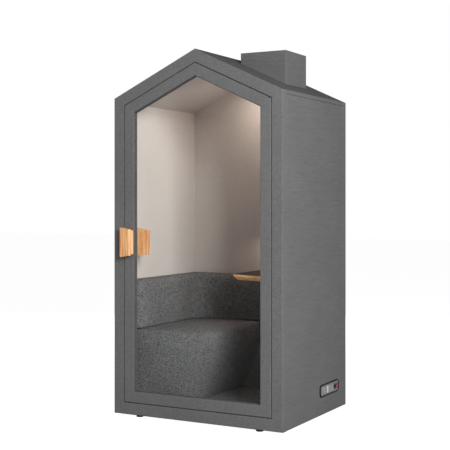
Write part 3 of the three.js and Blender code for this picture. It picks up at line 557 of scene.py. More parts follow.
def moulded(name, base, roughness, gloss=0.4):
    """Moulded plastic or rubber: a fine pebble grain, and a slight unevenness of shade and shine."""
    look = Look(name, Specular_IOR_Level=gloss)
    grain = look.noise((1800, 1800, 1800), 1)
    cloud = look.noise((25, 25, 25), 2)
    look.paint(look.shades(base, cloud, 0.12))
    look.rough(cloud, roughness - 0.07, roughness + 0.07)
    return look.bump(grain, 0.04 * MM).material


def brushed(name, base, along, roughness=0.32):
    """Brushed metal: hairlines along one axis."""
    look = Look(name, Metallic=1.0)
    hair = look.noise(tuple(2200 - 2180 * np.array(along, float)), 2, 0.7)
    look.paint(look.shades(base, hair, 0.12))
    look.rough(hair, roughness - 0.08, roughness + 0.14)
    return look.bump(hair, 0.03 * MM).material


def sheet_metal(name, base):
    """Zinc-coated sheet: cloudy spangles."""
    look = Look(name, Metallic=1.0)
    spangle = look.cells((90, 90, 90))
    look.paint(look.shades(base, spangle, 0.18, 0.0, 0.9))
    return look.rough(spangle, 0.35, 0.55).material


def clear_glass(name):
    """Clear glass that lets lamp light and the light between the walls pass straight through."""
    look = Look(name, Base_Color=(0.96, 0.985, 0.975, 1), Roughness=0.0, IOR=1.15, Transmission_Weight=1.0)
    clear = look.add("BsdfTransparent", {"Color": (0.96, 0.985, 0.975, 1)})
    path = look.add("LightPath", {})
    straight = look.add("Math", {0: path.outputs["Is Shadow Ray"], 1: path.outputs["Is Diffuse Ray"]},
                        operation="MAXIMUM")
    mix = look.add("MixShader", {0: straight.outputs[0], 1: look.shader.outputs[0], 2: clear.outputs[0]})
    look.put(look.tree.nodes["Material Output"].inputs["Surface"], mix.outputs[0])
    return look.material


def diffuser(name, light):
    """Opal diffuser, lit from within."""
    look = Look(name, Roughness=0.5, Emission_Color=(*light, 1), Emission_Strength=2.5)
    cloud = look.noise((30, 30, 30), 2)
    look.paint(look.shades((0.88, 0.86, 0.83), cloud, 0.04))
    return look.material


def scaled(base, *shares):
    """A colour with its parts scaled, by one share or by one each."""
    return np.array(base) * np.array(shares)


FINISHES = {
    "shell_felt": lambda c: felt("shell_felt", c.felt, 0.42, 0.3),
    # The roof decks' felt: the shell felt with a painted shade on the roof's top faces.
    "roof_felt": lambda c: felt("roof_felt", c.felt, 0.42, 0.1, 0.74, on_roof),
    # The portal's felt: a painted shade on its rafters' top faces, as on the roof.
    "front_felt": lambda c: felt("front_felt", c.felt, 0.43, 0.06, 0.6, on_roof),
    "door_felt": lambda c: felt("door_felt", c.felt, 0.43, 0.06),
    "stop_felt": lambda c: felt("stop_felt", c.stop, 0.2, 0.1),
    # The lining: a painted shade, half as bright on the lowest part of the walls.
    "lining_felt": lambda c: felt("lining_felt", c.lining, 0.19, 0.1, 0.5, near_floor),
    "core_foam": lambda c: felt("core_foam", c.core, 0.4, 0.0),
    "carpet": lambda c: loop_carpet("carpet", c.carpet),
    # One cloth at two brightnesses, a painted light and shade: the backrest's a little lighter, the bench's a little
    # darker and with a painted shade on the seat's top.
    "sofa_cloth": lambda c: upholstery("sofa_cloth", scaled(c.cloth, 1.24), 0.7),
    "bench_cloth": lambda c: upholstery("bench_cloth", scaled(c.cloth, 1.21), 0.58, 0.82, on_seat),
    "board": lambda c: board("board", c.board),
    "oak": lambda c: oak("oak", scaled(c.oak, 1.14, 1.12, 1.2), (0, 0, 1)),
    # The outer pull's oak: a little darker, with a painted light on its right side face.
    "oak_pull": lambda c: oak("oak_pull", scaled(c.oak, 0.82), (0, 0, 1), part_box("outer_handle")[1].x - 2 * MM),
    "oak_table": lambda c: oak("oak_table", c.oak, (0, 1, 0)),
    "laminate": lambda c: laminate("laminate", scaled(c.laminate, 0.5)),
    "glass": lambda c: clear_glass("glass"),
    "rubber": lambda c: moulded("rubber", c.rubber, 0.75, 0.2),
    "steel": lambda c: brushed("steel", c.steel, (0, 0, 1)),
    "dark_steel": lambda c: brushed("dark_steel", scaled(c.steel, 0.1), (0, 0, 1), 0.5),
    "bracket_paint": lambda c: moulded("bracket_paint", (0.014, 0.014, 0.014), 0.55),
    "black_plastic": lambda c: moulded("black_plastic", (0.012, 0.012, 0.012), 0.42, 0.15),
    "bezel_plastic": lambda c: moulded("bezel_plastic", (0.006, 0.006, 0.006), 0.25, 0.03),
    "white_plastic": lambda c: moulded("white_plastic", (0.8, 0.79, 0.76), 0.4),
    "diffuser": lambda c: diffuser("diffuser", c.lamp_light),
    "socket_plastic": lambda c: moulded("socket_plastic", scaled(c.socket, 0.36), 0.5, 0.2),
    "face_metal": lambda c: brushed("face_metal", scaled(c.face, 0.4), (0, 1, 0), 0.45),
    "sheet_metal": lambda c: sheet_metal("sheet_metal", c.sheet),
    "rocker_red": lambda c: moulded("rocker_red", scaled(c.rocker, 0.55), 0.25, 0.2),
}


def finish_of(name):
    """The material of a finish, made when it is first asked for."""
    made = bpy.data.materials.get("pod_" + name)
    if made is None:
        made = FINISHES[name](bpy.context.scene.pod_colours)
        made.name = "pod_" + name
    return made


def add_piece(name, shape, body, slot, nodes, finish=None, smooth=32):
    """A mesh object at the origin: points and faces, doubles merged, faces outwards, riding on a body."""
    points, faces = shape
    mesh = bpy.data.meshes.new(name)
    mesh.from_pydata(points.tolist(), [], faces)
    form = bmesh.new()
    form.from_mesh(mesh)
    bmesh.ops.remove_doubles(form, verts=form.verts, dist=1e-6)
    bmesh.ops.recalc_face_normals(form, faces=form.faces)
    form.to_mesh(mesh)
    form.free()
    mesh.shade_smooth()
    mesh.set_sharp_from_angle(angle=math.radians(smooth))
    piece = bpy.data.objects.new(name, mesh)
    bpy.context.scene.collection.objects.link(piece)
    mesh.materials.append(finish_of(finish or slot))
    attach(piece, body)
    if nodes:
        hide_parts(*nodes)
    return piece


def dress(finish, *nodes):
    """Give CAD nodes a finish."""
    for node in nodes:
        mesh = frame["nodes"][node].data
        mesh.materials.clear()
        mesh.materials.append(finish_of(finish))


def span(node, axis):
    """A node's lowest and highest place along one axis."""
    low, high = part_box(node)
    return low[axis], high[axis]


def middle_of(node):
    """The middle of a node's box."""
    low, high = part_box(node)
    return (np.array(low) + np.array(high)) / 2


def points_of(mesh):
    """A mesh's points as an array."""
    points = np.empty(3 * len(mesh.vertices))
    mesh.vertices.foreach_get("co", points)
    return points.reshape(-1, 3)


def evened(values, pairs, rounds):
    """Values at a mesh's points, drawn halfway to the mean of their neighbours, several times over."""
    count = np.bincount(pairs.ravel(), minlength=len(values))[:, None]
    for _ in range(rounds):
        total = np.zeros_like(values)
        np.add.at(total, pairs[:, 0], values[pairs[:, 1]])
        np.add.at(total, pairs[:, 1], values[pairs[:, 0]])
        values = (values + total / count) / 2
    return values


def swollen(piece, voxel, held, cap, draw_in=1 * MM, pressure=2.0):
    """Swell a cover with its filling: the form is remeshed evenly, drawn in a little, and simulated under pressure.

    The held function gives each point a weight; a weight of 1 keeps the point on the form. The movement is evened
    out, as in a taut cover, and no point ends farther than the cap from the form.
    """
    scene = bpy.context.scene
    even = piece.modifiers.new("even", "REMESH")
    even.mode = "VOXEL"
    even.voxel_size = voxel
    graph = bpy.context.evaluated_depsgraph_get()
    mesh = bpy.data.meshes.new_from_object(piece.evaluated_get(graph))
    piece.modifiers.clear()
    piece.data = mesh
    form = points_of(mesh)
    normals = np.empty(form.size)
    mesh.vertex_normals.foreach_get("vector", normals)
    normals = normals.reshape(-1, 3)
    weight = np.clip(held(form), 0, 1)
    free = (1 - weight)[:, None]
    mesh.vertices.foreach_set("co", (form - draw_in * free * normals).ravel())
    group = piece.vertex_groups.new(name="held")
    steps = np.round(weight * 10).astype(int)
    for step in range(1, 11):
        group.add(np.flatnonzero(steps == step).tolist(), step / 10, "REPLACE")
    cloth = piece.modifiers.new("filling", "CLOTH")
    settings = cloth.settings
    settings.quality = 2
    settings.vertex_group_mass = "held"
    settings.tension_stiffness = settings.compression_stiffness = 20
    settings.bending_stiffness = 60
    settings.use_pressure = True
    settings.uniform_pressure_force = pressure
    settings.effector_weights.gravity = 0
    for number in range(1, 21):
        scene.frame_set(number)
    graph = bpy.context.evaluated_depsgraph_get()
    moved = points_of(piece.evaluated_get(graph).data) - form
    piece.modifiers.clear()
    piece.vertex_groups.clear()
    scene.frame_set(1)
    pairs = np.empty(2 * len(mesh.edges), dtype=np.int32)
    mesh.edges.foreach_get("vertices", pairs)
    moved = free * evened(moved, pairs.reshape(-1, 2), 30)
    far = np.maximum(np.linalg.norm(moved, axis=1, keepdims=True), 1e-9)
    mesh.vertices.foreach_set("co", (form + moved * np.minimum(1, cap / far)).ravel())
    mesh.update()
    mesh.shade_smooth()
    smooth = piece.modifiers.new("smooth", "SUBSURF")
    smooth.levels = smooth.render_levels = 1
    print("swollen", piece.name, len(form), round(1000 * float(np.median(far)), 2), round(1000 * float(far.max()), 2))


# Operators


class POD_OT_stage(bpy.types.Operator):
    """Add the floor, the white surround, the lamps and the camera"""
    bl_idname = "pod.stage"
    bl_label = "Stage"

    eye = (3.1678, -5.8445, 1.3654)
    heading = math.radians(28.775)
    lens = 81.207
    rise = -0.04967
    floor_reach = 30.0
    aim = (0.0, -0.1, 1.2)
    warm = (1.0, 0.82, 0.7)

    def area_light(self, name, place, aim, size, power, tint=(1, 1, 1), mirrored=False, spread=180):
        """A square soft light that faces a point and that no view shows."""
        light = bpy.data.lights.new(name, "AREA")
        light.energy = power
        light.size = size
        light.color = tint
        light.spread = math.radians(spread)
        lamp = bpy.data.objects.new(name, light)
        lamp.location = place
        lamp.rotation_euler = (Vector(aim) - lamp.location).to_track_quat("-Z", "Y").to_euler()
        lamp.visible_camera = lamp.visible_transmission = False
        lamp.visible_glossy = mirrored
        bpy.context.scene.collection.objects.link(lamp)

    def around(self, bearing, height, distance=5.5):
        """A place round the pod: the bearing is counted from straight in front towards the right."""
        bearing = math.radians(bearing)
        return self.aim[0] + distance * math.sin(bearing), self.aim[1] - distance * math.cos(bearing), height

    def white_for_eyes(self, tree, dim, strength):
        """A strength that is 1 for rays from the camera, from gloss and through glass, and dim otherwise."""
        path = tree.nodes.new("ShaderNodeLightPath")
        seen = path.outputs["Is Camera Ray"]
        for ray in ("Is Glossy Ray", "Is Transmission Ray"):
            both = tree.nodes.new("ShaderNodeMath")
            both.operation = "MAXIMUM"
            tree.links.new(seen, both.inputs[0])
            tree.links.new(path.outputs[ray], both.inputs[1])
            seen = both.outputs[0]
        scale = tree.nodes.new("ShaderNodeMapRange")
        tree.links.new(seen, scale.inputs["Value"])
        scale.inputs["To Min"].default_value = dim
        scale.inputs["To Max"].default_value = strength
        return scale.outputs[0]

    def execute(self, context):
        scene = context.scene
        scene.view_settings.view_transform = "Standard"
        world = bpy.data.worlds.new("surround")
        world.use_nodes = True
        scene.world = world
        sky = world.node_tree.nodes["Background"]
        sky.inputs["Color"].default_value = (1, 1, 1, 1)
        world.node_tree.links.new(self.white_for_eyes(world.node_tree, 0.03, 1.0), sky.inputs["Strength"])

        floor_look = Look("floor", Base_Color=(0.3, 0.3, 0.3, 1), Roughness=1.0, Specular_IOR_Level=0.0,
                          Emission_Color=(1, 1, 1, 1))
        floor_look.put(floor_look.shader.inputs["Emission Strength"],
                       self.white_for_eyes(floor_look.tree, 0.0, 0.97))
        reach = self.floor_reach
        mesh = bpy.data.meshes.new("floor")
        mesh.from_pydata([(-reach, -reach, 0), (reach, -reach, 0), (reach, reach, 0), (-reach, reach, 0)], [],
                         [(0, 1, 2, 3)])
        mesh.materials.append(floor_look.material)
        floor = bpy.data.objects.new("floor", mesh)
        scene.collection.objects.link(floor)

        self.area_light("key", self.around(49, 2.9), self.aim, 1.9, 378, mirrored=True)
        self.area_light("side_light", self.around(80, 1.4), self.aim, 2.0, 54)
        self.area_light("left_fill", self.around(-50, 1.8), self.aim, 3.0, 120)
        self.area_light("rear_fill", self.around(205, 2.2), self.aim, 3.0, 200)
        lamp = middle_of("lamp_diffuser") - np.array([20, 30, 16]) * MM
        self.area_light("ceiling_lamp", lamp, lamp - np.array([0, 0, 1]), 0.09, 2.1, scene.pod_colours.lamp_light)
        self.area_light("ceiling_glow", (-0.1, 0.0, 1.1), (-0.1, 0.0, 2.0), 0.3, 0.25, spread=70)
        self.area_light("table_lamp", (0.13, 0.38, 1.18), (0.13, 0.38, 1.0), 0.08, 0.45, self.warm, spread=150)

        camera = bpy.data.cameras.new("camera")
        camera.lens = self.lens
        camera.sensor_width = 36
        camera.shift_y = self.rise
        view = bpy.data.objects.new("camera", camera)
        view.location = self.eye
        view.rotation_euler = (QUARTER, 0, self.heading)
        scene.collection.objects.link(view)
        scene.camera = view
        return {"FINISHED"}


class POD_OT_portal(bpy.types.Operator):
    """Build the five mitred bars of the front portal"""
    bl_idname = "pod.portal"
    bl_label = "Front portal"

    def execute(self, context):
        sizes = context.scene.pod_sizes
        section = rounded(rectangle(0, PORTAL_FACE, FRONT, PORTAL_BACK),
                          [sizes.portal_edge, sizes.joint_edge, sizes.seam_edge, sizes.seam_edge])
        for edge, node in (("bottom", "front_sill"), ("right", "front_post_right"), ("left", "front_post_left"),
                           ("right_slope", "front_rafter_right"), ("left_slope", "front_rafter_left")):
            add_piece(node[6:] + "_felt", mitred_bar(HOUSE_EDGES[edge], section), "cabin", "shell_felt", [node],
                      finish="front_felt")
        return {"FINISHED"}


class POD_OT_door(bpy.types.Operator):
    """Build the door leaf's five bars, its glazing gasket and the seal behind it, and finish the glass"""
    bl_idname = "pod.door"
    bl_label = "Door leaf"

    def execute(self, context):
        sizes = context.scene.pod_sizes
        section = rounded(rectangle(LEAF_INSET, LEAF_INSET + LEAF_FACE, FRONT, LEAF_BACK),
                          [sizes.joint_edge, sizes.reveal_edge, sizes.seam_edge, sizes.seam_edge])
        hinge_x = next(joint["pos_m"][0] for joint in frame["joints"] if joint["name"] == "door_swing")
        edge_x = HALF_WIDTH - LEAF_INSET
        notch_x = 2 * hinge_x - edge_x - 2 * MM
        notch_z = EAVE + (HALF_WIDTH - edge_x) * SLOPE - LEAF_INSET / LEAN + 2 * MM
        for edge, node in (("bottom", "door_rail_bottom"), ("right", "door_stile_right"),
                           ("left", "door_stile_left"), ("right_slope", "door_rafter_right"),
                           ("left_slope", "door_rafter_left")):
            notch = (notch_x, notch_z) if edge == "right_slope" else None
            add_piece(node + "_felt", mitred_bar(HOUSE_EDGES[edge], section, notch), "door", "door_felt", [node])
        gasket_low, gasket_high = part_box("glazing_gasket")
        pane = LEAF_INSET + LEAF_FACE
        lip = rectangle(gasket_low.z - BASE, pane + 4 * MM, gasket_low.y, gasket_high.y)
        add_piece("glazing_lip", house_ring(rounded(lip, [1.5 * MM, 2 * MM, 0.4 * MM, 0.4 * MM])), "door", "rubber",
                  ["glazing_gasket"])
        seal_low, seal_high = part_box("door_seal")
        seal_inset = seal_low.z - BASE
        bulb = rectangle(seal_inset, seal_inset + 9 * MM, seal_low.y, seal_high.y)
        add_piece("door_seal_bulb", house_ring(rounded(bulb, [1.3 * MM, 1.3 * MM, 0.2 * MM, 0.2 * MM])), "cabin",
                  "rubber", ["door_seal"])
        dress("glass", "door_glass")
        return {"FINISHED"}


class POD_OT_pulls(bpy.types.Operator):
    """Build the wooden pulls on both faces of the door"""
    bl_idname = "pod.pulls"
    bl_label = "Door pulls"

    short_side = 150 * MM
    cap_short_side = 168 * MM
    neck_depth = 23 * MM
    undercut = 30 * MM

    def outline(self, node, short_side):
        """A trapezium over the pull's box, taller on its left side."""
        low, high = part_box(node)
        middle = (low.z + high.z) / 2
        return np.array([[low.x, low.z], [high.x, middle - short_side / 2],
                         [high.x, middle + short_side / 2], [low.x, high.z]])

    def execute(self, context):
        edge = context.scene.pod_sizes.pull_edge
        low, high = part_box("outer_handle")
        joint_y = high.y - self.neck_depth
        cap = panel(self.outline("outer_handle", self.cap_short_side), low.y, joint_y, facing_y, edge, 1.5 * MM,
                    radii=edge)
        neck = panel(self.outline("outer_handle", self.short_side), joint_y - MM, high.y, facing_y, 0.1 * MM,
                     0.3 * MM, radii=edge)
        add_piece("outer_pull", joined(cap, neck), "door", "oak", ["outer_handle"], finish="oak_pull")

        low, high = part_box("inner_handle")
        profile = edge_profile(low.y, high.y, 0.5 * MM, edge)
        corners = self.outline("inner_handle", self.short_side)
        lean = self.undercut / (high.y - low.y)

        def leaning(u, v, w):
            share = (u - low.x) / (high.x - low.x)
            return facing_y(u - lean * share * (w - low.y), v, w)

        add_piece("inner_pull", plate(corners, profile, leaning, radii=edge), "door", "oak", ["inner_handle"])
        return {"FINISHED"}


class POD_OT_shell(bpy.types.Operator):
    """Build the felt skins, the rear panel and the roof decks"""
    bl_idname = "pod.shell"
    bl_label = "Outer shell"

    def execute(self, context):
        sizes = context.scene.pod_sizes
        seam = sizes.seam_edge
        box_low, box_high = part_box("panel_back_box")
        window = rectangle(box_low.y, box_high.y, box_low.z, box_high.z)
        for node, side in (("left_skin", -1), ("right_skin", 1)):
            low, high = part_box(node)
            thickness = high.x - low.x
            outline = rectangle(low.y, high.y, low.z, high.z - thickness * SLOPE)
            edges = {"low_edge": seam if side < 0 else 0.3 * MM, "high_edge": seam if side > 0 else 0.3 * MM}
            hole = rounded(window, 0.5 * MM) if side > 0 else None
            add_piece(node + "_felt", panel(outline, low.x, high.x, facing_x, radii=0.4 * MM, hole=hole, **edges),
                      "cabin", "shell_felt", [node])
        rear = panel(house(0.0), SHELL_BACK, BACK, facing_y, seam, sizes.portal_edge, radii=0.4 * MM)
        add_piece("back_panel_felt", rear, "cabin", "shell_felt", ["back_panel"])

        duct = middle_of("duct_sleeve")
        duct_low, duct_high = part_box("duct_sleeve")
        for node, side in (("roof_deck_left", -1), ("roof_deck_right", 1)):
            low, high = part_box(node)
            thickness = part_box("roof_deck_right")[1].z - high.z + 25 * MM

            def sheared(u, v, w):
                return facing_z(u, v, w + RIDGE - np.abs(u) * SLOPE)

            outline = rectangle(low.x, high.x, low.y, high.y)
            shares = [1, 0, 1, 1] if side < 0 else [1, 1, 1, 0]
            hole = None
            steps = 12 if side > 0 else 1
            if side > 0:
                reach = (duct_high.y - duct_low.y) / 2
                loop = resampled(rounded(outline, 0.4 * MM), steps)
                angle = np.arctan2(loop[:, 1] - duct[1], loop[:, 0] - duct[0])
                hole = np.stack([duct[0] + reach * np.cos(angle), duct[1] + reach * np.sin(angle)], 1)
            deck = panel(outline, -thickness, 0, sheared, seam, seam, radii=0.4 * MM, shares=shares, hole=hole,
                         per_edge=steps)
            add_piece(node + "_felt", deck, "cabin", "shell_felt", [node], finish="roof_felt")
        return {"FINISHED"}


class POD_OT_chimney(bpy.types.Operator):
    """Build the vent chimney, its cap and the outlet grille at its back"""
    bl_idname = "pod.chimney"
    bl_label = "Vent chimney"

    louvres = 6
    louvre_lean = math.radians(35)

    def shell(self, edge):
        """Three walls as one U: a wall section with a rounded top carried round the plan, then the back wall."""
        low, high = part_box("chimney_shell")
        cap_low, cap_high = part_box("chimney_cap")
        wall = cap_low.x - low.x
        inner_back = cap_high.y
        outer = rounded(np.array([[low.x, inner_back], [low.x, low.y], [high.x, low.y], [high.x, inner_back]]),
                        [0, edge, edge, 0])
        inner = rounded(np.array([[cap_low.x, inner_back], [cap_low.x, cap_low.y], [cap_high.x, cap_low.y],
                                  [cap_high.x, inner_back]]), [0, MM, MM, 0])
        turn = np.linspace(0, QUARTER, 6)
        top_edge = 0.6 * edge
        share = np.concatenate([[0, 0], top_edge * (1 - np.cos(turn)) / wall, [0.9, 1, 1]])
        level = np.concatenate([[0, high.z - 2 * top_edge], high.z - top_edge * (1 - np.sin(turn)),
                                [high.z, high.z - MM, 0]])
        plan = outer[:, None] * (1 - share[None, :, None]) + inner[:, None] * share[None, :, None]
        seat = RIDGE - plan[..., 0] * SLOPE + 0.3 * MM
        rings = facing_z(plan[..., 0], plan[..., 1], np.where(level == 0, seat, level))
        outlet_low, outlet_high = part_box("outlet_grille")

        def seat_at(x):
            return RIDGE - x * SLOPE + 0.3 * MM

        back = np.array([[low.x, seat_at(low.x)], [high.x, seat_at(high.x)], [high.x, high.z], [low.x, high.z]])
        hole = rounded(rectangle(outlet_low.x, outlet_high.x, outlet_low.z, outlet_high.z), MM)
        wall_back = panel(back, inner_back, high.y, facing_y, 0.3 * MM, 0.6 * edge, radii=0.4 * MM, hole=hole)
        return joined(skin(rings), wall_back)

    def execute(self, context):
        edge = context.scene.pod_sizes.chimney_edge
        add_piece("chimney_felt", self.shell(edge), "cabin", "shell_felt", ["chimney_shell"])
        low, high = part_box("chimney_cap")
        cap = panel(rectangle(low.x, high.x, low.y, high.y), low.z, high.z, facing_z, 0.3 * MM, 2 * MM,
                    radii=MM)
        add_piece("chimney_cap_felt", cap, "cabin", "shell_felt", ["chimney_cap"])
        low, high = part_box("outlet_grille")
        rim = 6 * MM
        frame_hole = rounded(rectangle(low.x + rim, high.x - rim, low.z + rim, high.z - rim), 2 * MM)
        shapes = [panel(rectangle(low.x, high.x, low.z, high.z), low.y, high.y, facing_y, 0.3 * MM, MM, radii=2 * MM,
                        hole=frame_hole)]
        pitch = (high.z - low.z - 2 * rim) / self.louvres
        depth = (high.y - low.y - 2 * MM) / 2
        drop = depth * math.tan(self.louvre_lean)
        for i in range(self.louvres):
            z = low.z + rim + (i + 0.5) * pitch
            y = (low.y + high.y) / 2
            blade = np.array([[y - depth, z + drop - MM], [y + depth, z - drop - MM], [y + depth, z - drop + MM],
                              [y - depth, z + drop + MM]])
            shapes.append(panel(blade, low.x + rim - MM, high.x - rim + MM, facing_x, radii=0.8 * MM))
        add_piece("outlet_louvres", joined(*shapes), "cabin", "black_plastic", ["outlet_grille"])
        return {"FINISHED"}


class POD_OT_inside(bpy.types.Operator):
    """Finish the linings, and build the carpet's ribbed loops"""
    bl_idname = "pod.inside"
    bl_label = "Linings and carpet"

    def execute(self, context):
        sizes = context.scene.pod_sizes
        dress("lining_felt", "left_lining", "right_lining", "back_lining", "ceiling_left", "ceiling_right")
        dress("stop_felt", "door_stop")
        dress("core_foam", "left_core", "right_core")
        dress("board", "base_deck")
        low, high = carpet_low, carpet_high
        columns = np.linspace(low.x, high.x, 1 + 2 * round((high.x - low.x) / sizes.carpet_rib))
        rows = np.linspace(low.y, high.y, 1 + 2 * round((high.y - low.y) / sizes.carpet_rib))
        x, y = np.meshgrid(np.pad(columns, 1, mode="edge"), np.pad(rows, 1, mode="edge"), indexing="ij")
        i, j = np.meshgrid(np.arange(len(columns) + 2), np.arange(len(rows) + 2), indexing="ij")
        tuft = ((i + j) % 2) * (0.75 + 0.25 * np.sin(12.9 * i + 78.2 * j))
        z = high.z - sizes.carpet_pile * (1 - tuft)
        edge = (i == 0) | (i == i.max()) | (j == 0) | (j == j.max())
        z = np.where(edge, low.z, z)
        index = np.arange(x.size).reshape(x.shape)
        quads = np.stack([index[:-1, :-1], index[1:, :-1], index[1:, 1:], index[:-1, 1:]], -1).reshape(-1, 4)
        border = np.concatenate([index[0, :-1], index[:-1, -1], index[-1, :0:-1], index[:0:-1, 0]])
        points = np.stack([x, y, z], -1).reshape(-1, 3)
        add_piece("carpet_loops", (points, quads.tolist() + [border.tolist()]), "cabin", "carpet", ["carpet"],
                  smooth=80)
        return {"FINISHED"}


class POD_OT_bench(bpy.types.Operator):
    """Build the upholstered bench in the corner of the left and back walls"""
    bl_idname = "pod.bench"
    bl_label = "Bench"

    # Free edge in plan: distance from the left wall and from the pod's front face
    edge_places = np.array([[0, 130], [70, 136], [170, 156], [270, 176], [400, 200], [490, 228], [540, 300],
                            [555, 400], [555, 670]]) * MM
    # Side from the floor to the belly: share of the way from the left wall and from the back wall, and height
    side_places = np.array([[0.73, 0.97, 0.0753], [0.855, 0.985, 0.235], [0.95, 0.993, 0.36], [0.988, 0.998, 0.43],
                            [1, 1, 0.485]])
    seat_height = 536 * MM
    roll_share = 0.1
    wall_ease = 110 * MM
    roundness = 3
    crown = 6 * MM
    backrest_band = 153 * MM

    def form(self):
        """The cover before it swells: each point of the edge, drawn towards the wall corner by the profile's shares.

        The side leans in to the floor, a superellipse rolls over the top edge, and the top rises towards its middle.
        """
        low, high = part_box("seat_cushion")
        corner = np.array([low.x, high.y])
        places = np.array([-CABIN_X, FRONT]) + self.edge_places
        places[0, 0] = corner[0]
        edge = smooth_curve(np.concatenate([places, [[places[-1, 0], corner[1]]]]), 150)
        side = smooth_curve(self.side_places, 40)
        belly = self.side_places[-1, 2]
        turn = np.linspace(0, QUARTER, 16)[1:]
        ease = np.clip((edge[:, :1] - corner[0]) / self.wall_ease, 0.25, 1)
        roll = 1 - self.roll_share * ease * (1 - np.cos(turn) ** (2 / self.roundness))
        rise = belly + (self.seat_height - belly) * np.sin(turn) ** (2 / self.roundness)
        top = np.concatenate([roll, (1 - self.roll_share * ease) * np.linspace(1, 0, 60)[1:]], 1)
        below = np.tile(np.concatenate([[[0, 0]], side[:, :2]]), (len(edge), 1, 1))
        shares = np.concatenate([below, np.stack([top, top], -1)], 1)
        height = np.concatenate([side[:1, 2], side[:, 2], rise, np.full(59, self.seat_height)])
        plan = corner + shares * (edge - corner)[:, None]
        from_wall = plan[..., 0] + CABIN_X
        from_back = corner[1] - plan[..., 1]
        clear = np.clip(np.minimum(from_wall, from_back) / self.backrest_band - 1, 0, 1)
        swell = self.crown * np.sin(math.pi * shares[..., 0]) * clear * clear * (3 - 2 * clear)
        lift = np.where(height == self.seat_height, swell, 0)
        return skin(facing_z(plan[..., 0], plan[..., 1], height + lift + BASE))

    def execute(self, context):
        bench = add_piece("bench_cover", self.form(), "cabin", "sofa_cloth", ["seat_cushion", "seat_plinth"],
                          finish="bench_cloth", smooth=60)
        low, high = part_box("seat_plinth")

        def held(points):
            from_wall = np.minimum(points[:, 0] - low.x, high.y - points[:, 1])
            near_wall = 1 - (from_wall - 5 * MM) / (40 * MM)
            near_floor = 1 - (points[:, 2] - low.z - 5 * MM) / (40 * MM)
            near_backrest = (points[:, 2] > self.seat_height) * (1 - (from_wall - self.backrest_band) / (60 * MM))
            return np.maximum(np.maximum(near_wall, near_floor), near_backrest)

        swollen(bench, 8 * MM, held, context.scene.pod_sizes.swell)
        return {"FINISHED"}


class POD_OT_backrest(bpy.types.Operator):
    """Build the padded backrest that wraps the corner"""
    bl_idname = "pod.backrest"
    bl_label = "Backrest"

    thickness = 78 * MM
    corner_radius = 150 * MM
    soft_edge = 34 * MM
    seat_edge = 14 * MM
    end_length = 64 * MM
    end_inset = 46 * MM
    wall_edge = 9 * MM

    def form(self):
        """A rounded section carried along the left wall, round the corner and along the back wall.

        At both ends the section is drawn in along a quarter circle.
        """
        low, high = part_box("backrest")
        inner = np.array([low.x, high.y]) + self.thickness * np.array([1, -1])
        centre = inner + self.corner_radius * np.array([1, -1])
        turn = np.linspace(0, QUARTER, 8)
        bend = np.linspace(0, QUARTER, 24)
        end = self.end_length * (1 - np.cos(turn))
        draw = self.end_inset * (1 - np.sin(turn))
        along = np.linspace(low.y + end[-1], centre[1], 30)[1:-1]
        across = np.linspace(centre[0], high.x - end[-1], 30)[1:-1]
        ones = np.ones
        way = np.stack([-np.cos(bend), np.sin(bend)], 1)
        reach = ((self.corner_radius + self.thickness) / np.maximum(np.cos(bend), np.sin(bend)))[:, None]
        face = np.concatenate([
            np.stack([inner[0] * ones(8), low.y + end], 1), np.stack([inner[0] * ones(len(along)), along], 1),
            centre + self.corner_radius * way, np.stack([across, inner[1] * ones(len(across))], 1),
            np.stack([high.x - end[::-1], inner[1] * ones(8)], 1)])
        wall = face.copy()
        wall[:8 + len(along), 0] = low.x
        wall[8 + len(along):-8 - len(across)] = centre + reach * way
        wall[-8 - len(across):, 1] = high.y
        insets = np.concatenate([draw, np.zeros(len(face) - 16), draw[::-1]])
        rings = []
        for near, far, inset in zip(face, wall, insets):
            depth = np.linalg.norm(far - near)
            loop = rounded(rectangle(inset, depth, low.z, high.z - inset),
                           [self.seat_edge, self.wall_edge, self.wall_edge, self.soft_edge], 7)
            plan = near + loop[:, :1] * (far - near) / depth
            rings.append(facing_z(plan[:, 0], plan[:, 1], loop[:, 1]))
        return skin(np.array(rings))

    def execute(self, context):
        rest = add_piece("backrest_cover", self.form(), "cabin", "sofa_cloth", ["backrest"], smooth=60)
        low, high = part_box("backrest")

        def held(points):
            from_wall = np.minimum(points[:, 0] - low.x, high.y - points[:, 1])
            near_wall = 1 - (from_wall - 12 * MM) / (30 * MM)
            near_seat = 1 - (points[:, 2] - low.z - 4 * MM) / (30 * MM)
            return np.maximum(near_wall, near_seat)

        swollen(rest, 7 * MM, held, context.scene.pod_sizes.swell)
        return {"FINISHED"}


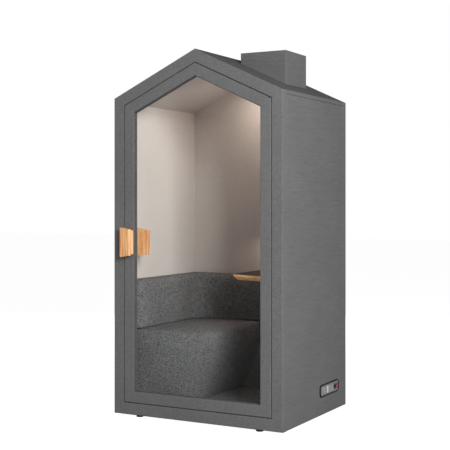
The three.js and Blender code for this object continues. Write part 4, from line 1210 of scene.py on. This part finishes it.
class POD_OT_table(bpy.types.Operator):
    """Build the wall table with its laminate and its two brackets"""
    bl_idname = "pod.table"
    bl_label = "Wall table"

    tip_radius = 70 * MM
    back_radius = 60 * MM
    lead = math.atan2(262 - 138, 428)

    def execute(self, context):
        sizes = context.scene.pod_sizes
        low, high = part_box("table_laminate")
        wood_low, wood_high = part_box("table_top")
        tip_y = low.y + (high.x - low.x) * math.tan(self.lead)
        corners = np.array([[high.x, low.y], [high.x, high.y], [low.x, high.y], [low.x, tip_y]])
        radii = np.array([0, 0, self.back_radius, self.tip_radius])
        shares = [0, 1, 1, 1]
        bevel = 27 * MM
        band = sizes.table_band
        profile = np.array([[bevel + MM, wood_low.z], [bevel, wood_low.z], [bevel - MM, wood_low.z + 0.4 * MM],
                            [MM, wood_high.z - band - MM], [0.3 * MM, wood_high.z - band],
                            [0, wood_high.z - band + 2 * MM], [0, wood_high.z - 0.5 * MM],
                            [0.3 * MM, wood_high.z], [MM, wood_high.z]])
        add_piece("table_top_oak", plate(corners, profile, facing_z, radii=radii, shares=shares), "cabin", "oak",
                  ["table_top"], finish="oak_table")
        sheet = panel(corners, low.z, high.z, facing_z, 0.1 * MM, 0.8 * MM, radii=radii, shares=shares)
        add_piece("table_laminate_sheet", sheet, "cabin", "laminate", ["table_laminate"])
        for node in ("table_bracket_front", "table_bracket_back"):
            low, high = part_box(node)
            gusset = np.array([[low.x, high.z], [high.x, low.z], [high.x, high.z]])
            shape = panel(gusset, low.y, high.y, facing_y, 1.2 * MM, 1.2 * MM, radii=np.array([6, 6, 0]) * MM)
            add_piece(node + "_steel", shape, "cabin", "bracket_paint", [node])
        return {"FINISHED"}


class POD_OT_power_panel(bpy.types.Operator):
    """Build the power panel: half-round bezel, brushed face, sockets, mains inlet and rocker"""
    bl_idname = "pod.power_panel"
    bl_label = "Power panel"

    def execute(self, context):
        low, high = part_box("panel_bezel")
        face_low, face_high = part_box("panel_face")
        rim = face_low.y - low.y
        turn = np.linspace(0, math.pi, 13)
        profile = np.stack([rim * (1 - np.cos(turn)) / 2,
                            low.x + (high.x - low.x) * np.sin(turn)**0.7], 1)
        loops = [rounded(drawn_in(rectangle(low.y, high.y, low.z, high.z), inset), 27 * MM - inset, 9)
                 for inset in profile[:, 0]]
        rings = np.stack([facing_x(loop[:, 0], loop[:, 1], level) for loop, level in zip(loops, profile[:, 1])])
        add_piece("panel_bezel_ring", skin(rings, closed=True), "cabin", "bezel_plastic", ["panel_bezel"], smooth=60)

        inlet_low, inlet_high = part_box("inlet_module")
        lip = 1.7 * MM
        body = drawn_in(rectangle(inlet_low.y, inlet_high.y, inlet_low.z, inlet_high.z), lip)
        face = panel(rectangle(face_low.y, face_high.y, face_low.z, face_high.z), face_low.x, face_high.x, facing_x,
                     0.2 * MM, 0.6 * MM, radii=16 * MM, hole=rounded(body, 0.5 * MM))
        add_piece("panel_face_plate", face, "cabin", "face_metal", ["panel_face"])
        add_piece("inlet_socket", joined(*self.inlet_halves()), "cabin", "black_plastic", ["inlet_module"])
        add_piece("rocker_cap", self.rocker(), "rocker_switch", "rocker_red", ["rocker"], smooth=40)

        low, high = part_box("socket_block")
        sheet = panel(rectangle(low.y, high.y, low.z, high.z), low.x, low.x + 1.2 * MM, facing_x, 0.1 * MM, 0.5 * MM,
                      radii=5 * MM)
        middle = middle_of("socket_block")
        rims = []
        holes = []
        for side in (-1, 1):
            y = middle[1] + side * self.socket_pitch / 2
            half_y = self.socket_size[0] / 2
            half_z = self.socket_size[1] / 2
            turn = np.arange(28) * TAU / 28 - 0.75 * math.pi
            ring = np.stack([y + self.well_radius * np.cos(turn), middle[2] + self.well_radius * np.sin(turn)], 1)
            rims.append(panel(rectangle(y - half_y, y + half_y, middle[2] - half_z, middle[2] + half_z),
                              low.x + MM, high.x, facing_x, 0.1 * MM, 0.5 * MM, radii=6 * MM, hole=ring))
            for pin in (-1, 1):
                centre = (y + pin * self.pin_pitch / 2, middle[2])
                profile = np.array([[0, low.x + MM], [2.6 * MM, low.x + MM], [2.6 * MM, low.x + 1.3 * MM],
                                    [0, low.x + 1.3 * MM]])
                holes.append(turned(profile, self.standing_out(centre), 20))
        add_piece("socket_faces", joined(sheet, *rims), "cabin", "socket_plastic", ["socket_block"])
        add_piece("socket_holes", joined(*holes), "cabin", "black_plastic", [])
        bar = panel(rectangle(middle[1] - 4 * MM, middle[1] + 4 * MM, low.z + MM, high.z - MM), low.x + MM, high.x,
                    facing_x, 0.1 * MM, 0.5 * MM, radii=2 * MM)
        add_piece("socket_bar", bar, "cabin", "white_plastic", [])
        dress("sheet_metal", "panel_back_box")
        return {"FINISHED"}

    socket_pitch = 92 * MM
    socket_size = (66 * MM, 40 * MM)
    well_radius = 17 * MM
    pin_pitch = 19 * MM
    inlet_depth = 15 * MM
    recess = (24 * MM, 17 * MM)
    rocker_valley = 3.5 * MM
    rocker_edge = (5.6 * MM, 9 * MM)
    rocker_tilt = math.radians(8)

    def standing_out(self, centre):
        """Turned pieces whose axis stands out of the right wall."""
        def place(u, v, w):
            return facing_x(centre[0] + u, centre[1] + v, w)
        return place

    def inlet_halves(self):
        """Two cups side by side, one round the recess and one round the rocker's well: body, flange, wall, floor."""
        low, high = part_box("inlet_module")
        middle = middle_of("inlet_module")
        rocker_low, rocker_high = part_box("rocker")
        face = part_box("panel_face")[1].x
        hinge = self.rocker_axis()
        radius = math.hypot(*self.rocker_edge) + 0.5 * MM
        quarter = (high.y - low.y) / 4
        recess = rectangle(low.y + quarter - self.recess[0] / 2, low.y + quarter + self.recess[0] / 2,
                           middle[2] - self.recess[1] / 2, middle[2] + self.recess[1] / 2)
        well = rectangle(hinge[1] - radius, hinge[1] + radius, rocker_low.z - 0.4 * MM, rocker_high.z + 0.4 * MM)
        for hole, y0, y1, radii, shares in ((recess, low.y, middle[1], [5, 0, 0, 5], [1, 0, 1, 1]),
                                            (well, middle[1], high.y, [0, 5, 5, 0], [1, 1, 1, 0])):
            flange = rectangle(y0, y1, low.z, high.z)
            loops = [(drawn_in(flange, 2 * MM * np.array(shares)), 1, low.x),
                     (drawn_in(flange, 2 * MM * np.array(shares)), 1, face),
                     (flange, radii, face), (flange, radii, high.x - 0.5 * MM),
                     (drawn_in(flange, 0.5 * MM * np.array(shares)), radii, high.x),
                     (drawn_in(hole, -0.5 * MM), 3, high.x), (hole, 3, high.x - 0.5 * MM),
                     (hole, 3, high.x - self.inlet_depth)]
            rings = []
            for corners, round_off, level in loops:
                loop = rounded(corners, np.minimum(np.asarray(round_off, float) * MM, 5 * MM))
                rings.append(facing_x(loop[:, 0], loop[:, 1], level))
            yield skin(np.array(rings))

    def rocker_axis(self):
        """The place of the rocker's hinge."""
        return next(joint["pos_m"] for joint in frame["joints"] if joint["name"] == "rocker_tip")

    def rocker(self):
        """A drum about the hinge with a shallow V across its face, tipped to its off side, its ends rounded."""
        low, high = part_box("rocker")
        axis = self.rocker_axis()
        edge = math.atan2(self.rocker_edge[1], self.rocker_edge[0])
        radius = math.hypot(*self.rocker_edge)
        turn = np.linspace(edge, TAU - edge, 40)
        drum = radius * np.stack([np.cos(turn), np.sin(turn)], 1)
        face = np.linspace(-1, 1, 9)[1:-1, None]
        dish = np.stack([self.rocker_valley + (self.rocker_edge[0] - self.rocker_valley) * np.abs(face[:, 0]),
                         self.rocker_edge[1] * face[:, 0]], 1)
        loop = np.concatenate([drum, dish])
        c, s = math.cos(-self.rocker_tilt), math.sin(-self.rocker_tilt)
        loop = loop @ np.array([[c, s], [-s, c]])
        inset = np.array([0.6, 0.25, 0, 0, 0.25, 0.6]) * MM
        level = np.array([low.z, low.z + 0.25 * MM, low.z + 0.8 * MM, high.z - 0.8 * MM, high.z - 0.25 * MM, high.z])
        scale = (1 - inset / radius)[:, None]
        return skin(facing_z(axis[0] + scale * loop[:, 0], axis[1] + scale * loop[:, 1], level[:, None]))


class POD_OT_feet(bpy.types.Operator):
    """Build the four levelling feet"""
    bl_idname = "pod.feet"
    bl_label = "Levelling feet"

    def execute(self, context):
        for end in ("front", "back"):
            for side in ("left", "right"):
                node = f"foot_{end}_{side}"
                low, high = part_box(node)
                middle = middle_of(node)
                reach = (high.x - low.x) / 2
                corners = np.array([[0, low.z], [reach, low.z], [reach, low.z + 4 * MM], [reach - 4 * MM, BASE - MM],
                                    [6 * MM, BASE - MM], [6 * MM, high.z], [0, high.z]])
                profile = rounded(corners, np.array([0, 1.2, 1.2, 1.5, 0, 0.8, 0]) * MM, 4)

                def place(u, v, w):
                    return facing_z(middle[0] + u, middle[1] + v, w)

                add_piece(node + "_turned", turned(profile, place, 72, 0.03, 18), node + "_screw", "black_plastic",
                          [node])
        return {"FINISHED"}


class POD_OT_fittings(bpy.types.Operator):
    """Finish the lamp, the vent and the small metal fittings"""
    bl_idname = "pod.fittings"
    bl_label = "Lamp, vent and small fittings"

    lamp_height = 16 * MM
    diffuser_depth = 6 * MM
    grille_thickness = 6 * MM
    grille_border = 20 * MM
    grille_slots = 8
    slot_width = 9 * MM

    def execute(self, context):
        low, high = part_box("lamp_diffuser")
        radius = (high.y - low.y) / 2
        rim = (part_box("lamp_housing")[1].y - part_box("lamp_housing")[0].y) / 2
        half = self.lamp_height / 2
        place = on_slope(middle_of("lamp_housing"))
        cup = np.array([[0, half], [0, self.diffuser_depth - half], [radius, self.diffuser_depth - half],
                        [radius, -half], [rim, -half], [rim, half]])
        add_piece("lamp_cup", turned(rounded(cup, np.array([0, 0, 0.5, 0.8, 3, 1]) * MM), place, 64), "cabin",
                  "white_plastic", ["lamp_housing"])
        turn = np.linspace(0, QUARTER, 10)
        dome = np.stack([(radius - 0.3 * MM) * np.sin(turn), -half + 2.5 * MM * (1 - np.cos(turn))], 1)
        opal = np.concatenate([dome, [[radius - 0.3 * MM, self.diffuser_depth - half - 0.3 * MM],
                                      [0, self.diffuser_depth - half - 0.3 * MM]]])
        add_piece("lamp_opal", turned(opal, place, 64), "cabin", "diffuser", ["lamp_diffuser"])

        low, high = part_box("ceiling_grille")
        place = on_slope(middle_of("ceiling_grille"))
        reach = (high.y - low.y) / 2
        inner = reach - self.grille_border
        pitch = 2 * inner / self.grille_slots
        gap = inner - (pitch - self.slot_width) / 2
        thick = self.grille_thickness / 2
        shapes = [panel(rectangle(-reach, reach, -reach, reach), -thick, thick, place, 1.5 * MM, 0.2 * MM, radii=6 * MM,
                        hole=rounded(rectangle(-gap, gap, -inner, inner), MM))]
        for number in range(1, self.grille_slots):
            u = -inner + number * pitch
            half = (pitch - self.slot_width) / 2
            shapes.append(panel(rectangle(u - half, u + half, -inner - MM, inner + MM), -thick + 0.3 * MM, thick, place,
                                1.5 * MM, 0.2 * MM, radii=0.4 * MM))
        add_piece("ceiling_vent", joined(*shapes), "cabin", "white_plastic", ["ceiling_grille"])
        dress("black_plastic", "fan_frame", "fan_rotor")
        dress("sheet_metal", "duct_sleeve")
        dress("steel", "catch_magnet", "catch_plate")
        dress("dark_steel", "bottom_pivot", "top_pivot")
        return {"FINISHED"}


BUILD_ORDER = (POD_OT_stage, POD_OT_portal, POD_OT_door, POD_OT_pulls, POD_OT_shell, POD_OT_chimney, POD_OT_inside,
               POD_OT_bench, POD_OT_backrest, POD_OT_table, POD_OT_power_panel, POD_OT_feet, POD_OT_fittings)


class POD_PT_sidebar(bpy.types.Panel):
    """Sizes, colours and build steps of the pod"""
    bl_idname = "POD_PT_sidebar"
    bl_label = "Acoustic pod"
    bl_space_type = "VIEW_3D"
    bl_region_type = "UI"
    bl_category = "Pod"

    def draw(self, context):
        for settings in (context.scene.pod_sizes, context.scene.pod_colours):
            box = self.layout.box()
            for name in settings.__annotations__:
                box.prop(settings, name)
        for operator in BUILD_ORDER:
            self.layout.operator(operator.bl_idname)


CLASSES = (PodSizes, PodColours, *BUILD_ORDER, POD_PT_sidebar)


def register():
    for cls in CLASSES:
        bpy.utils.register_class(cls)
    bpy.types.Scene.pod_sizes = bpy.props.PointerProperty(type=PodSizes)
    bpy.types.Scene.pod_colours = bpy.props.PointerProperty(type=PodColours)


def unregister():
    del bpy.types.Scene.pod_colours
    del bpy.types.Scene.pod_sizes
    for cls in reversed(CLASSES):
        bpy.utils.unregister_class(cls)


def main():
    register()
    for operator in BUILD_ORDER:
        group, name = operator.bl_idname.split(".")
        getattr(getattr(bpy.ops, group), name)()


if __name__ == "__main__":
    main()
